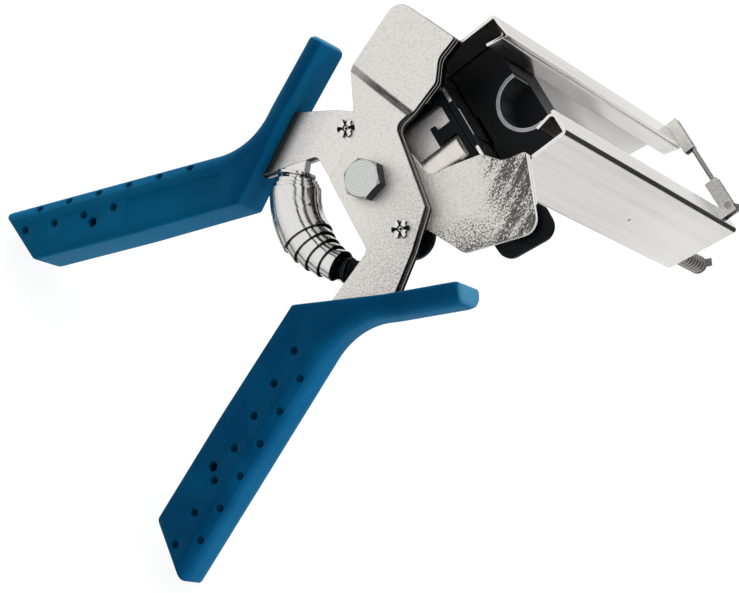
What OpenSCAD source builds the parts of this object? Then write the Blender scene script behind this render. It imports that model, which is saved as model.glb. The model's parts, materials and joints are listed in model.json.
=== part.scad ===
// Clip-fed stapling pliers: two crossed sheet levers with moulded grips close two
// jaw heads in front of a long clip magazine that stands square to the levers.
// Lengths are in millimetres. The pieces are drawn in the tool's own frame: x runs
// from the pivot to the nose, y to the upper handle, z to the side of the bolt head.
// At the end the tool is leaned on its two butts and the tail post of its magazine.

/* [Lever sheets] */
// Thickness of one lever sheet
sheet_t = 2.2; // [1.8:0.1:2.4]
// Free gap between neighbouring sheets
sheet_gap = 0.1; // [0.05:0.05:0.2]
// Thickness of the lower jaw plate
jaw_t = 2.1; // [1.5:0.1:3]
// Length of the step that sets the front head back
joggle_run = 3; // [2:0.5:4]
// Length of the tang inside a grip, from the elbow
tang_len = 60; // [45:1:64]

/* [Grips] */
// Nose-to-elbow distance from the pivot
elbow_x = 55.1; // [50:0.1:58]
// Distance of each elbow from the centre line
elbow_y = 27.3; // [25:0.1:31]
// Tilt of the guard away from the centre line
guard_tilt = 29.5; // [27:0.5:32]
// Angle between the guard and the bar
elbow_angle = 126.9; // [122:0.1:130]
// Length of the bar along its inner edge
bar_len = 112; // [100:1:125]
// Height of the bar
bar_h = 25.3; // [23:0.1:28]
// Swell of the bar's inner edge
bar_crown = 1.3; // [0:0.1:2]
// Length of the guard
guard_len = 80; // [70:1:86]
// Height of the guard
guard_h = 9.6; // [7:0.1:11]
// Inward turn of the guard's tip
tip_rise = 2; // [0:0.1:3]
// Width of a grip across the tool
grip_w = 20.8; // [20:0.1:26]
// Rounding of the grip's edges
edge_r = 2; // [1.5:0.1:2.8]
// Radius of the blend behind the elbow
blend_r = 33; // [20:1:36]
// Slant of the butt
butt_slant = 30; // [15:1:35]
// Radius of the hanging hole
hang_r = 2.4; // [1.5:0.1:3]
// Pitch of the dimples
dimple_pitch = 16.4; // [14:0.1:17]
// Radius of a dimple's rim
dimple_r = 1.9; // [1.2:0.1:2.4]

/* [Pivot] */
// Radius of the pivot bolt
bolt_r = 5; // [4:0.5:6]
// Width across flats of the bolt head and nut
hex_af = 16; // [14:1:18]
// Height of the bolt head
hex_h = 6.4; // [5:0.1:8]
// Height of the nut
nut_h = 8.4; // [6:0.1:10]
// Wall of the bush that the levers turn on
bush_wall = 2; // [1.5:0.1:2.5]
// Running clearance of a turning or sliding fit, on the radius
fit = 0.05; // [0.02:0.01:0.1]
// Radius of the lever rivets
rivet_r = 2.5; // [2:0.1:2.8]

/* [Return spring] */
// Radius of the spring's bent centre line about the pivot
coil_arc_r = 38.7; // [38:0.1:40]
// Radius of the widest coil
coil_r = 12; // [11.5:0.1:12.5]
// Drop in radius from one coil to the next
coil_step = 1.36; // [1.3:0.02:1.42]
// Thickness of the spring strip with its overlap
coil_wall = 1.6; // [1.5:0.01:1.7]

/* [Magazine] */
// Distance from the pivot to the magazine's web
web_x = 45; // [44:0.5:48]
// Depth of the magazine from web to lips
mag_d = 36.8; // [34:0.2:40]
// Width of the magazine
mag_w = 65; // [60:0.5:68]
// Length of the magazine
mag_len = 206; // [180:1:230]
// Thickness of the magazine sheet
mag_t = 1.4; // [1:0.1:2]
// Outer bend radius of the magazine
mag_bend = 2; // [1.5:0.1:3]
// Width of each front lip
lip_w = 12.2; // [10:0.2:14]
// Depth of each return lip
return_d = 10.2; // [7:0.1:12]
// Spread of each return lip towards its side
return_slant = 1.8; // [0:0.1:2.5]
// Outer bend radius between a lip and its return
return_bend = 3; // [2:0.1:4]
// Shortening of the web at the far end
end_slant = 12.9; // [8:0.1:18]

/* [Guide plate and bracket] */
// Thickness of the guide plate
guide_t = 2.5; // [2:0.1:3.5]
// Corner radius of the large ears
ear_r = 6.5; // [4:0.5:8]
// Radius of the small ears
boss_r = 10; // [8:0.5:11]
// Thickness of the bracket sheet
bracket_t = 2; // [1.5:0.1:3]
// Width of the bracket
bracket_w = 32; // [28:1:36]
// Length of the bracket's leg along the web
leg_len = 56; // [45:1:70]

/* [Clip pusher] */
// Distance of the pusher's face from the magazine mouth
pusher_set = 18; // [14:1:24]
// Length of the pusher
pusher_len = 32; // [28:1:40]
// Sliding clearance of the pusher
slide_gap = 0.5; // [0.3:0.1:0.8]
// Radius of the finger notch
notch_r = 14; // [10:0.5:15]
// Wall of the sleeve in the finger notch
sleeve_wall = 1.8; // [0.8:0.1:2.4]

/* [Far end] */
// Reach of the tail post past the magazine's lips
tail_out = 23; // [18:0.5:26]

// Radius of the bail wire
bail_r = 1.25; // [1:0.05:1.6]
// Distance of the bail in front of the lips
bail_rise = 4.4; // [3.5:0.1:6]
// Distance of the bail from the far end of the magazine
bail_set = 6; // [5:0.5:10]

/* [Hidden] */
$fn = 48;

// ---- Layers through the thickness of the tool ----
pitch = sheet_t + sheet_gap;
function layer(i) = -sheet_gap - i*pitch;          // front face of sheet i
stack_back = layer(3) - sheet_t;
stack_mid = stack_back/2;
jaw_back = stack_back - jaw_t;
guide_front = jaw_back - 2*sheet_gap;
guide_back = guide_front - guide_t;
bracket_back = guide_back - bracket_t;
mouth_z = guide_front - 0.4;
far_z = mouth_z - mag_len;
front_x = web_x + mag_d;
bush_r = bolt_r + fit + bush_wall;
hex_r = hex_af/2/cos(30);

// ---- Helpers ----
function unit(v) = v/norm(v);
// One corner b of an outline, rounded to radius b[2] as an arc
function corner(a, b, c) =
    let (p = [b[0], b[1]], u = unit([a[0], a[1]] - p), w = unit([c[0], c[1]] - p),
         half = acos(u*w)/2, m = p + unit(u + w)*b[2]/sin(half),
         s = p + u*b[2]/tan(half) - m, e = p + w*b[2]/tan(half) - m,
         a0 = atan2(s[1], s[0]), turn = (atan2(e[1], e[0]) - a0 + 540) % 360 - 180,
         n = max(2, ceil(abs(turn)/15)))
    b[2] == 0 ? [p] : [for (i = [0:n]) m + b[2]*[cos(a0 + turn*i/n), sin(a0 + turn*i/n)]];
function rounded(pts) =
    let (n = len(pts))
    [for (i = [0:n-1]) each corner(pts[(i+n-1) % n], pts[i], pts[(i+1) % n])];

module slab(front, t) translate([0, 0, front - t]) linear_extrude(t) children();
module upper_side() mirror([0, 1, 0]) children();

// ---- Grip outline: local x along the guard, the bar turns off at the elbow ----
function bar_pt(s, n) = s*[cos(elbow_angle), -sin(elbow_angle)]
                      + n*[sin(elbow_angle), cos(elbow_angle)];
blend_s = (guard_h + bar_h*cos(elbow_angle))/sin(elbow_angle);
blend_pt = bar_pt(blend_s, bar_h);
butt_s = bar_len + bar_h*tan(butt_slant);
function at_r(p, r) = [p[0], p[1], r];
tip_from = 0.55*guard_len;
grip_outline = rounded([[0, 0, 0], [tip_from, 0, 60], [guard_len, tip_rise, 0],
    [guard_len, tip_rise - guard_h, 0], [tip_from, -guard_h, 60], at_r(blend_pt, blend_r),
    at_r(bar_pt(butt_s, bar_h), 0), at_r(bar_pt(bar_len - bar_crown*tan(butt_slant), -bar_crown), 0),
    at_r(bar_pt(bar_len/2, -bar_crown), 300)]);
function grip_to_tool(p) = [-elbow_x + p[0]*cos(guard_tilt) + p[1]*sin(guard_tilt),
                            -elbow_y - p[0]*sin(guard_tilt) + p[1]*cos(guard_tilt)];
module on_grip() translate([-elbow_x, -elbow_y, stack_mid]) rotate(-guard_tilt) children();

// ---- Lever outline, drawn for the lever with the lower handle ----
tang = [at_r(grip_to_tool([44, -4.5]), 2), at_r(grip_to_tool([22, -9]), 4),
    at_r(grip_to_tool(bar_pt(tang_len, 18)), 2), at_r(grip_to_tool(bar_pt(tang_len, 8)), 2),
    at_r(grip_to_tool([5, -8]), 4), at_r(grip_to_tool([13, -3]), 3)];
waist = [[16.4, -25.8, 2], [1.7, -38.6, 6]];
shoulder = [[-15.5, -26, 3], [-14.9, 12.4, 3], [5, 21.3, 5]];
head = [[18.9, 50.6, 4], [51, 62.7, 7], [63.8, 30.2, 1.2], [53.2, 27.2, 6],
    [46.8, 18.8, 4], [31, 13.9, 8], [22.6, 12.8, 4]];
stub = [[15.5, 19, 5]];
lever_outline = rounded(concat(tang, shoulder, head, waist));
short_outline = rounded(concat(tang, shoulder, stub, waist));
// The front head is set back by one layer along this crease
crease_at = [24.8, 26];
crease_turn = -20.6;
rivet_at = [2.3, -27.6];

module pierced(outline) difference() {
    polygon(outline);
    circle(bush_r + fit);
    translate(rivet_at) circle(rivet_r + fit);
}
// A sheet that steps back by one layer past the crease
module joggled_sheet(front, outline) intersection() {
    translate([crease_at[0], crease_at[1], front]) rotate(crease_turn + 40)
        rotate([90, 0, 0]) translate([0, 0, -120]) linear_extrude(240)
            polygon([[-200, 0], [0, 0], [joggle_run, -pitch], [80, -pitch],
                [80, -pitch - sheet_t], [joggle_run, -pitch - sheet_t], [0, -sheet_t], [-200, -sheet_t]]);
    translate([0, 0, front - 20]) linear_extrude(30) pierced(outline);
}

// ---- Lever rivet: spacer, shank and a staked star head ----
module star_head(r, h) difference() {
    cylinder(r = r, h = h);
    for (i = [0:5]) rotate(60*i) translate([r - 0.2, 0, -1]) cylinder(r = 0.95, h = h + 2, $fn = 24);
    translate([0, 0, h + 0.9]) sphere(r = 1.8, $fn = 32);
}
module lever_rivet(first) translate([rivet_at[0], rivet_at[1], 0]) {
    front = layer(first);
    back = layer(first + 2) - sheet_t;
    translate([0, 0, back - 1.3]) cylinder(r = rivet_r, h = front - back + 1.3 + 0.4);
    translate([0, 0, front]) star_head(4.1, 1.1);
    translate([0, 0, back - 1.3]) cylinder(r = 3.4, h = 1.3);
    slab(front - sheet_t, pitch + sheet_gap) circle(4);
}

// ---- Moulded grip ----
module dimple(s, n, side) {
    p = bar_pt(s, n);
    ball = 2.4;
    translate([p[0], p[1], side*(grip_w/2 + sqrt(ball*ball - dimple_r*dimple_r))])
        sphere(r = ball, $fn = 32);
}
hang_s = 76.5;
hang_n = 9;
row_n = [13.2, 22];
first_s = 15.3;
module dimples(side, from) for (i = [0:6]) {
    if (i >= from) dimple(first_s + i*dimple_pitch, row_n[0], side);
    if (i < 6) dimple(first_s + (i + 0.5)*dimple_pitch, row_n[1], side);
}
module name_panel(side) translate([0, 0, side*grip_w/2]) linear_extrude(1, center = true)
    polygon([bar_pt(9, 3.4), bar_pt(60, 3.4), bar_pt(58, 16), bar_pt(7, 16)]);
module grip_shell() minkowski() {
    linear_extrude(grip_w - 2*edge_r, center = true) offset(delta = -edge_r) polygon(grip_outline);
    sphere(r = edge_r, $fn = 16);
}
// first: the layer of the lever's own front sheet
module grip(first, panel_side) difference() {
    on_grip() difference() {
        grip_shell();
        dimples(-panel_side, 0);
        dimples(panel_side, 3);
        name_panel(panel_side);
        translate(bar_pt(hang_s, hang_n)) cylinder(r = hang_r, h = 2*grip_w, center = true);
    }
    slab(layer(first) + sheet_gap/2, 2*pitch + sheet_t + sheet_gap)
        offset(delta = 0.12) polygon(rounded(tang_block));
}
// The tang with the stretch of sheet just outside the grip
function beyond(a, b) = [a[0] + 1.15*(b[0] - a[0]), a[1] + 1.15*(b[1] - a[1]), 2];
tang_block = concat(tang, [beyond(tang[5], shoulder[0]), beyond(tang[0], waist[1])]);

// ---- Return spring: telescoping coils on a bend, widest near the middle ----
lower_turn = 8.6;
upper_turn = 6.5;
lower_coils = 5;
upper_coils = 3;
coil_lap = 6.2;
seat_lift = 4.4;
seat_mid = (grip_to_tool([13, -3]) + [shoulder[0][0], shoulder[0][1]])/2;
lower_end = 360 + atan2(seat_mid[1], seat_mid[0]) - seat_lift;
upper_end = 360 - lower_end;
wide_to = lower_end - lower_turn*lower_coils;
wide_from = upper_end + upper_turn*upper_coils;
function coil_radius(k) = coil_r - coil_step*abs(k);
module on_bend(a) rotate(a) translate([coil_arc_r, 0, stack_mid]) rotate([-90, 0, 0]) children();
module coil(from, to, r) {
    mid = (from + to)/2;
    h = 2*coil_arc_r*tan((to - from)/2);
    on_bend(mid) translate([0, 0, -h/2]) difference() {
        cylinder(r = r, h = h);
        translate([0, 0, -1]) cylinder(r = r - coil_wall, h = h + 2);
    }
}
cut_w = coil_r + 3;
module square_end(a, side) on_bend(a) translate([-cut_w, -cut_w, side < 0 ? -coil_r : 0])
    cube([2*cut_w, 2*cut_w, coil_r]);
module return_spring() color("gainsboro") difference() {
    mid = (wide_from + wide_to)/2;
    union() {
        coil(wide_from, mid + coil_lap/2, coil_r);
        coil(mid - coil_lap/2, wide_to, coil_r);
        for (k = [1:lower_coils])
            coil(wide_to + lower_turn*(k - 1) - coil_lap, wide_to + lower_turn*k + (k == lower_coils ? 2 : 0), coil_radius(k));
        for (k = [1:upper_coils])
            coil(wide_from - upper_turn*k - (k == upper_coils ? 2 : 0), wide_from - upper_turn*(k - 1) + coil_lap, coil_radius(k));
    }
    square_end(lower_end, 1);
    square_end(upper_end, -1);
}
// A cupped seat on the edge of a lever's two sheets; end: angle of the spring's end
module spring_seat(end, end_r, first) difference() {
    rotate(end) translate([coil_arc_r, 0, stack_mid]) rotate([-90, 0, 0]) {
        translate([0, 0, 0.1]) cylinder(r = end_r + 0.6, h = 1.4);
        translate([0, 0, -6]) cylinder(r = end_r - coil_wall - 0.9, h = 6.2);
        translate([-5, -2.4, 1.4]) cube([10, 4.8, 9]);
    }
    translate([0, 0, -40]) linear_extrude(60) polygon(lever_outline);
}

// ---- Levers ----
module lower_lever_front_plate() color("silver") joggled_sheet(layer(0), lever_outline);
module lower_lever_rear_plate() color("silver") slab(layer(2), sheet_t) pierced(lever_outline);
module upper_lever_front_plate() color("silver")
    upper_side() slab(layer(1), sheet_t) pierced(short_outline);
module upper_lever_rear_plate() color("silver")
    upper_side() slab(layer(3), sheet_t) pierced(lever_outline);
module tang_spacer(first) slab(layer(first) - sheet_t, pitch + sheet_gap) intersection() {
    polygon(lever_outline);
    polygon([for (p = [[14, 4], [44, 4], [48, -30], [-90, -90], [-90, -20]]) grip_to_tool(p)]);
}
module lower_tang_spacer() color("dimgray") tang_spacer(0);
module upper_tang_spacer() color("dimgray") upper_side() tang_spacer(1);
module lower_lever_rivet() color("gray") lever_rivet(0);
module upper_lever_rivet() color("gray") upper_side() lever_rivet(1);
module jaw_shape() intersection() {
    polygon(lever_outline);
    polygon([[head[4][0] - 9.8, 6], [head[2][0] + 4, 6], [head[2][0] + 4, 47], [head[1][0] + 1, 52],
        [head[4][0] - 9.8, 33]]);
}
module upper_jaw() color("dimgray")
    slab(layer(2) - sheet_t, layer(2) - sheet_t - jaw_back) jaw_shape();
module lower_jaw() color("silver") upper_side() slab(stack_back, jaw_t) jaw_shape();
module lower_spring_seat() color("silver")
    spring_seat(lower_end, coil_radius(lower_coils), 0);
module upper_spring_seat() color("silver") upper_side()
    spring_seat(lower_end, coil_radius(upper_coils), 1);
module lower_grip() color("#0a5c8c") grip(0, -1);
module upper_grip() color("#0a5c8c") upper_side() grip(1, 1);

// ---- Pivot ----
module hex_body(h, chamfer_top, chamfer_bottom) intersection() {
    cylinder(r = hex_r, h = h, $fn = 6);
    rotate_extrude() polygon([[0, 0], [hex_af/2 - 0.2 + (chamfer_bottom ? 0 : 3), 0], [hex_r + 1, 2],
        [hex_r + 1, h - 2], [hex_af/2 - 0.2 + (chamfer_top ? 0 : 3), h], [0, h]]);
}
module pivot_bolt() color("silver") rotate(11) {
    hex_body(hex_h, true, false);
    shank = nut_h + 3.5 - bracket_back;
    translate([0, 0, -shank]) cylinder(r = bolt_r, h = shank);
}
module pivot_bush() color("dimgray") translate([0, 0, guide_front]) difference() {
    cylinder(r = bush_r, h = -guide_front);
    translate([0, 0, -1]) cylinder(r = bolt_r + fit, h = -guide_front + 2);
}
module ring(front, t, outer, inner) slab(front, t) difference() {
    circle(outer);
    circle(inner);
}
module pivot_spacer() color("dimgray")
    ring(stack_back - sheet_gap, stack_back - guide_front - 1.5*sheet_gap, 12, bush_r + fit);
module pivot_washer() color("silver") ring(bracket_back, 1.5, 10, bolt_r + fit);
module pivot_nut() color("silver") translate([0, 0, bracket_back - 1.5 - nut_h]) difference() {
    rotate(25) hex_body(nut_h, true, true);
    translate([0, 0, -1]) cylinder(r = bolt_r + fit, h = nut_h + 2);
}

// ---- Guide plate: black steel plate that carries everything ----
boss_at = [1.6, 28.2];
ear_tab = [[29, 36, 0], [31.2, 63.2, ear_r], [57.2, 66.6, ear_r], [57.6, 53.5, 4], [48, 36, 0]];
head_ear = [[29, 30, 0], [33, 54, ear_r], [54, 55, ear_r], [57, 34, 4], [48, 30, 0]];
// Window between the bracket's bead and the magazine, with a latch tang
window_x = [16, 41];
tang_head = [31.6, 34.2];
module bar_between(a, b, w) {
    d = b - a;
    translate(a) rotate(atan2(d[1], d[0])) translate([0, -w/2]) square([norm(d), w]);
}
module guide_side(ear) {
    bar_between([0, 0], boss_at, 19);
    translate(boss_at) circle(boss_r);
    bar_between([16, 0], [40, 46], 19);
    polygon(rounded(ear));
    square([web_x, 22]);
}
module guide_plate() color("#26282b") slab(guide_front, guide_t) difference() {
    union() {
        circle(17);
        guide_side(head_ear);
        mirror([0, 1]) guide_side(ear_tab);
    }
    circle(bolt_r + fit);
    translate([web_x - 0.2, -mag_w/2 - 0.2]) square([mag_d, mag_w + 0.4]);
    translate([web_x - 1, -hook_w/2 - 0.3]) square([2, hook_w + 0.6]);
    difference() {
        polygon(rounded([for (x = window_x, s = [-1, 1]) [x, (x > 20 ? -s : s)*14, x > 20 ? 1.5 : 4]]));
        translate([tang_head[0], -3.2]) square([tang_head[1] - tang_head[0], 10.7]);
        translate([tang_head[0] + 1, -1.6]) square([window_x[1] - tang_head[0], 6.4]);
    }
}

// ---- Bracket from the pivot to the magazine's web ----
screw_z = [16, 42];
module magazine_bracket() color("silver") {
    leg = guide_back - leg_len;
    difference() {
        union() {
            slab(guide_back, bracket_t) circle(bracket_w/2);
            translate([0, bracket_w/2, 0]) rotate([90, 0, 0]) linear_extrude(bracket_w)
                polygon(rounded([[0, guide_back, 0], [web_x, guide_back, 4], [web_x, leg, 0],
                    [web_x - bracket_t, leg, 0], [web_x - bracket_t, bracket_back, 2], [0, bracket_back, 0]]));
            for (s = [-1, 1]) translate([14, s*(bracket_w/2 - bracket_t/2), bracket_back - 6])
                translate([0, -bracket_t/2, 0]) cube([web_x - 14 - bracket_t, bracket_t, 7]);
            translate([21, -8, guide_back - 2.6]) rotate([0, 90, 0]) cylinder(r = 5, h = 15);
            for (x = [21, 36]) translate([x, -8, guide_back - 2.6]) sphere(r = 5);
        }
        translate([0, 0, bracket_back - 1]) cylinder(r = bolt_r + fit, h = bracket_t + 5);
        for (z = screw_z) translate([web_x, 0, bracket_back - z]) rotate([0, -90, 0])
            cylinder(r = 2 + fit, h = 10, center = true);
    }
}
module bracket_screws() color("dimgray") for (z = screw_z)
    translate([web_x - bracket_t, 0, bracket_back - z]) rotate([0, -90, 0]) difference() {
        union() {
            translate([0, 0, -bracket_t - mag_t]) cylinder(r = 2, h = bracket_t + mag_t + 1);
            intersection() {
                cylinder(r = 3.8, h = 2.2);
                translate([0, 0, -2.6]) sphere(r = 4.8);
            }
        }
        translate([0, 0, 1]) cylinder(r = 1.3, h = 3, $fn = 6);
    }

// ---- Magazine ----
module lip_pair() for (s = [-1, 1]) scale([1, s]) translate([front_x, mag_w/2 - lip_w])
    polygon(rounded([[0, lip_w - mag_bend, 0], [0, 0, return_bend], [-return_d, return_slant, 0.6],
        [-return_d, return_slant + mag_t, 0.6], [-mag_t, mag_t, return_bend - mag_t],
        [-mag_t, lip_w - mag_bend, 0]]));
module magazine_channel() color("#d9d6d0") {
    z0 = far_z;
    difference() {
        translate([0, 0, z0]) linear_extrude(mag_len) {
            difference() {
                polygon(rounded([[web_x, -mag_w/2, mag_bend], [front_x, -mag_w/2, mag_bend],
                    [front_x, mag_w/2, mag_bend], [web_x, mag_w/2, mag_bend]]));
                polygon(rounded([for (x = [web_x + mag_t, front_x - mag_t], s = [-1, 1])
                    [x, (x > web_x + mag_t ? -s : s)*(mag_w/2 - mag_t), mag_bend - mag_t]]));
                translate([front_x - 5, lip_w - mag_w/2]) square([10, mag_w - 2*lip_w]);
            }
            lip_pair();
        }
        for (z = screw_z) translate([web_x, 0, bracket_back - z]) rotate([0, 90, 0])
            cylinder(r = 2 + fit, h = 8, center = true);
        translate([0, mag_w, 0]) rotate([90, 0, 0]) linear_extrude(2*mag_w)
            polygon([[web_x - mag_d, far_z - 1], [web_x - mag_d, far_z + 2*end_slant],
                [front_x, far_z], [front_x, far_z - 1]]);
        translate([web_x + 14, -mag_w/2, -126]) rotate([90, 0, 0])
            cylinder(r = 0.9, h = 6, center = true, $fn = 24);
    }
}

// ---- Clip pusher with its ribbon spring ----
pusher_z = mouth_z - pusher_set;
inner_x = web_x + mag_t + slide_gap;
inner_y = mag_w/2 - mag_t - slide_gap;
pusher_front = front_x - return_d - slide_gap;
notch_x = front_x - 12.3;
notch_depth = pusher_len - 17;
reel_r = 6.4;
reel_x = inner_x + reel_r + 0.4;
reel_z = pusher_z - pusher_len + reel_r + 2;
ribbon_w = 14;
module pusher_block() color("#1d1f22") difference() {
    translate([0, 0, pusher_z - pusher_len]) linear_extrude(pusher_len)
        polygon(rounded([[inner_x, -inner_y, 2], [pusher_front, -inner_y, 3],
            [pusher_front, inner_y, 3], [inner_x, inner_y, 2]]));
    translate([notch_x, 0, pusher_z - notch_depth]) cylinder(r = notch_r, h = notch_depth + 1);
    translate([reel_x, 0, reel_z]) rotate([90, 0, 0])
        cylinder(r = reel_r + 0.3, h = ribbon_w + 1, center = true);
    translate([inner_x - 1, -ribbon_w/2 - 0.5, reel_z - 1]) cube([2.2, ribbon_w + 1, 100]);
}
module pusher_sleeve() color("gainsboro") intersection() {
    translate([notch_x, 0, pusher_z - notch_depth]) difference() {
        cylinder(r = notch_r - fit, h = notch_depth);
        translate([0, 0, -1]) cylinder(r = notch_r - sleeve_wall, h = notch_depth + 2);
    }
    translate([web_x, -notch_r, pusher_z - 40]) cube([pusher_front - 0.3 - web_x, 2*notch_r, 60]);
}
module ribbon_reel() color("gainsboro") translate([reel_x, 0, reel_z]) rotate([90, 0, 0]) difference() {
    cylinder(r = reel_r, h = ribbon_w, center = true);
    cylinder(r = 3, h = ribbon_w + 1, center = true);
}
module feed_ribbon() color("gainsboro")
    translate([reel_x - reel_r - 0.3, -ribbon_w/2, reel_z]) cube([0.3, ribbon_w, mouth_z - reel_z]);
// Clip over the web's mouth edge that the ribbon hangs from
hook_w = 24;
hook_t = 0.5;
hook_z = mouth_z + 0.45;
module ribbon_hook() color("#1d1f22") rotate([90, 0, 0]) linear_extrude(hook_w, center = true)
    polygon([[web_x - hook_t - 0.1, guide_back], [web_x - hook_t - 0.1, hook_z], [reel_x - reel_r - 0.3, hook_z],
        [reel_x - reel_r - 0.3, mouth_z - 5], [web_x + mag_t + 0.05, mouth_z - 5], [web_x + mag_t + 0.05, mouth_z + 0.03],
        [web_x - 0.1, mouth_z + 0.03], [web_x - 0.1, guide_back]]);

// ---- Far end: tail post with its coil, and bail ----
tail_at = [web_x + 6.5, -mag_w/2 + 6.4];
bracket_z = far_z + 15.5;
tail_coil_r = 3.9;
tail_wire_r = 0.75;
tail_cap_r = 4.75;
module post_bracket() color("#26282b") difference() {
    union() {
        translate([web_x + mag_t, tail_at[1] - 4.2, bracket_z]) cube([9.9, 9.2, 1.6]);
        translate([web_x + mag_t, tail_at[1] - 4.2, bracket_z]) cube([1.2, 9.2, 6]);
    }
    translate([tail_at[0], tail_at[1], bracket_z - 1]) cylinder(r = 2.2 + fit, h = 4);
}
module tail_post() color("dimgray") translate([tail_at[0], tail_at[1], 0]) {
    translate([0, 0, tail_z]) cylinder(r = 2.2, h = bracket_z + 2.8 - tail_z);
    translate([0, 0, bracket_z + 1.7]) cylinder(r = 3.4, h = 1.1);
    translate([0, 0, tail_z]) cylinder(r = tail_cap_r, h = 0.9);
    rotate(-25) translate([0, -2, tail_z]) cube([tail_cap_r + 2.7, 4, 0.9]);
}
// Coil swept along a helix about z, closed between the bracket and the post's cap
coil_steps = 14;
coil_turns = 9;
tail_z = far_z - tail_out;
coil_pitch = (bracket_z - tail_z - 0.9 - 2*tail_wire_r - 0.2)/coil_turns;
function coil_ring(a) = [for (j = [0:5])
    let (r = tail_coil_r + tail_wire_r*cos(60*j))
    [r*cos(a), r*sin(a), coil_pitch*a/360 + tail_wire_r*sin(60*j)]];
module tail_spring() color("#33363a") translate([tail_at[0], tail_at[1], tail_z + 0.9 + tail_wire_r]) {
    n = coil_turns*coil_steps;
    points = [for (i = [0:n]) each coil_ring(i*360/coil_steps)];
    sides = [for (i = [0:n-1], j = [0:5]) let (k = (j + 1) % 6) [6*i + j, 6*i + k, 6*i + 6 + k, 6*i + 6 + j]];
    polyhedron(points, concat([[5, 4, 3, 2, 1, 0]], sides, [[for (j = [0:5]) 6*n + j]]));
}
bail_x = front_x + bail_rise;
bail_z = far_z + bail_set;
hinge_y = -mag_w/2 + 10.5;
catch_y = mag_w/2 - 8.5;
leaf_t = 0.9;
// Folded sheet clip on a lip: a base and two leaves on either side of the bail
leaf_z = bail_r + 0.45 + leaf_t/2;
module lip_clip(y0, y1, rise) {
    translate([front_x, y0, bail_z - leaf_z - leaf_t/2]) cube([leaf_t, y1 - y0, 2*leaf_z + leaf_t]);
    for (s = [-1, 1]) translate([front_x, y0, bail_z + s*leaf_z - leaf_t/2]) cube([rise, y1 - y0, leaf_t]);
}
module bail_hinge_clip() color("silver") difference() {
    lip_clip(hinge_y - 4, hinge_y + 16, bail_rise + 2.4);
    translate([bail_x, hinge_y, bail_z]) cylinder(r = 1.1 + fit, h = 20, center = true);
}
module bail_catch_clip() color("silver") lip_clip(catch_y - 10, catch_y + 8.4, bail_rise + 1.2);
module bail_pin() color("dimgray") translate([bail_x, hinge_y, bail_z]) {
    cylinder(r = 1.1, h = 2*leaf_z + leaf_t + 1.6, center = true);
    for (s = [-1, 1]) translate([0, 0, s*(leaf_z + leaf_t/2 + 0.4)]) cylinder(r = 1.8, h = 0.8, center = true);
}
module end_bail() color("silver") translate([bail_x, 0, bail_z]) {
    difference() {
        union() {
            translate([0, hinge_y, 0]) cylinder(r = 2.4, h = 2*bail_r, center = true);
            translate([0, hinge_y, 0]) rotate([-90, 0, 0]) cylinder(r = bail_r, h = catch_y - hinge_y + 6);
            translate([0, hinge_y, 0]) rotate(-48) translate([0, -1.8, -bail_r]) cube([6.6, 3.6, 2*bail_r]);
        }
        translate([0, hinge_y, 0]) cylinder(r = 1.1 + fit, h = 8, center = true);
    }
    translate([0, catch_y + 6, 0]) sphere(r = bail_r);
}

// ---- The lean on two butts and the cap of the tail post ----
butt_core = grip_to_tool(bar_pt(butt_s - edge_r*(1 + sin(butt_slant))/cos(butt_slant), bar_h - edge_r));
butt_z = stack_mid - grip_w/2 + edge_r;
tail_low = [tail_at[0] - tail_cap_r, tail_z];
reach = [tail_low[0] - butt_core[0], butt_z - tail_low[1]];
lean = atan2(reach[1], reach[0]) - asin(edge_r/norm(reach));
rise = -(sin(lean)*tail_low[0] + cos(lean)*tail_low[1]);
back_x = cos(lean)*butt_core[0] - sin(lean)*(stack_mid + grip_w/2 - edge_r) - edge_r;
nose_x = cos(lean)*(bail_x + 3) - sin(lean)*far_z;
module placed() translate([-(back_x + nose_x)/2, 0, rise]) rotate([0, -lean, 0]) children();

placed() guide_plate();
placed() magazine_bracket();
placed() magazine_channel();
placed() bracket_screws();
placed() pivot_bolt();
placed() pivot_bush();
placed() pivot_spacer();
placed() pivot_washer();
placed() pivot_nut();
placed() ribbon_hook();
placed() post_bracket();
placed() tail_post();
placed() tail_spring();
placed() bail_hinge_clip();
placed() bail_catch_clip();
placed() bail_pin();
placed() lower_grip();
placed() lower_lever_front_plate();
placed() lower_lever_rear_plate();
placed() lower_tang_spacer();
placed() lower_lever_rivet();
placed() upper_jaw();
placed() lower_spring_seat();
placed() upper_grip();
placed() upper_lever_front_plate();
placed() upper_lever_rear_plate();
placed() upper_tang_spacer();
placed() upper_lever_rivet();
placed() lower_jaw();
placed() upper_spring_seat();
placed() return_spring();
placed() pusher_block();
placed() pusher_sleeve();
placed() ribbon_reel();
placed() feed_ribbon();
placed() end_bail();
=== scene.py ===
# %% [markdown]
# # Clip-fed stapling pliers
# The tool is a pair of crossed sheet-steel levers with blue moulded grips. They close
# two jaw heads in front of a long clip magazine that stands square to them. The solid
# parts come from a CAD model and stay where they are. This lesson gives each of them
# its real edges, winds its springs and builds the metals and the plastic it is made of.

# %% Load the CAD frame
import bpy
import bmesh
import json
import math
from mathutils import Matrix, Quaternion, Vector


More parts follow.
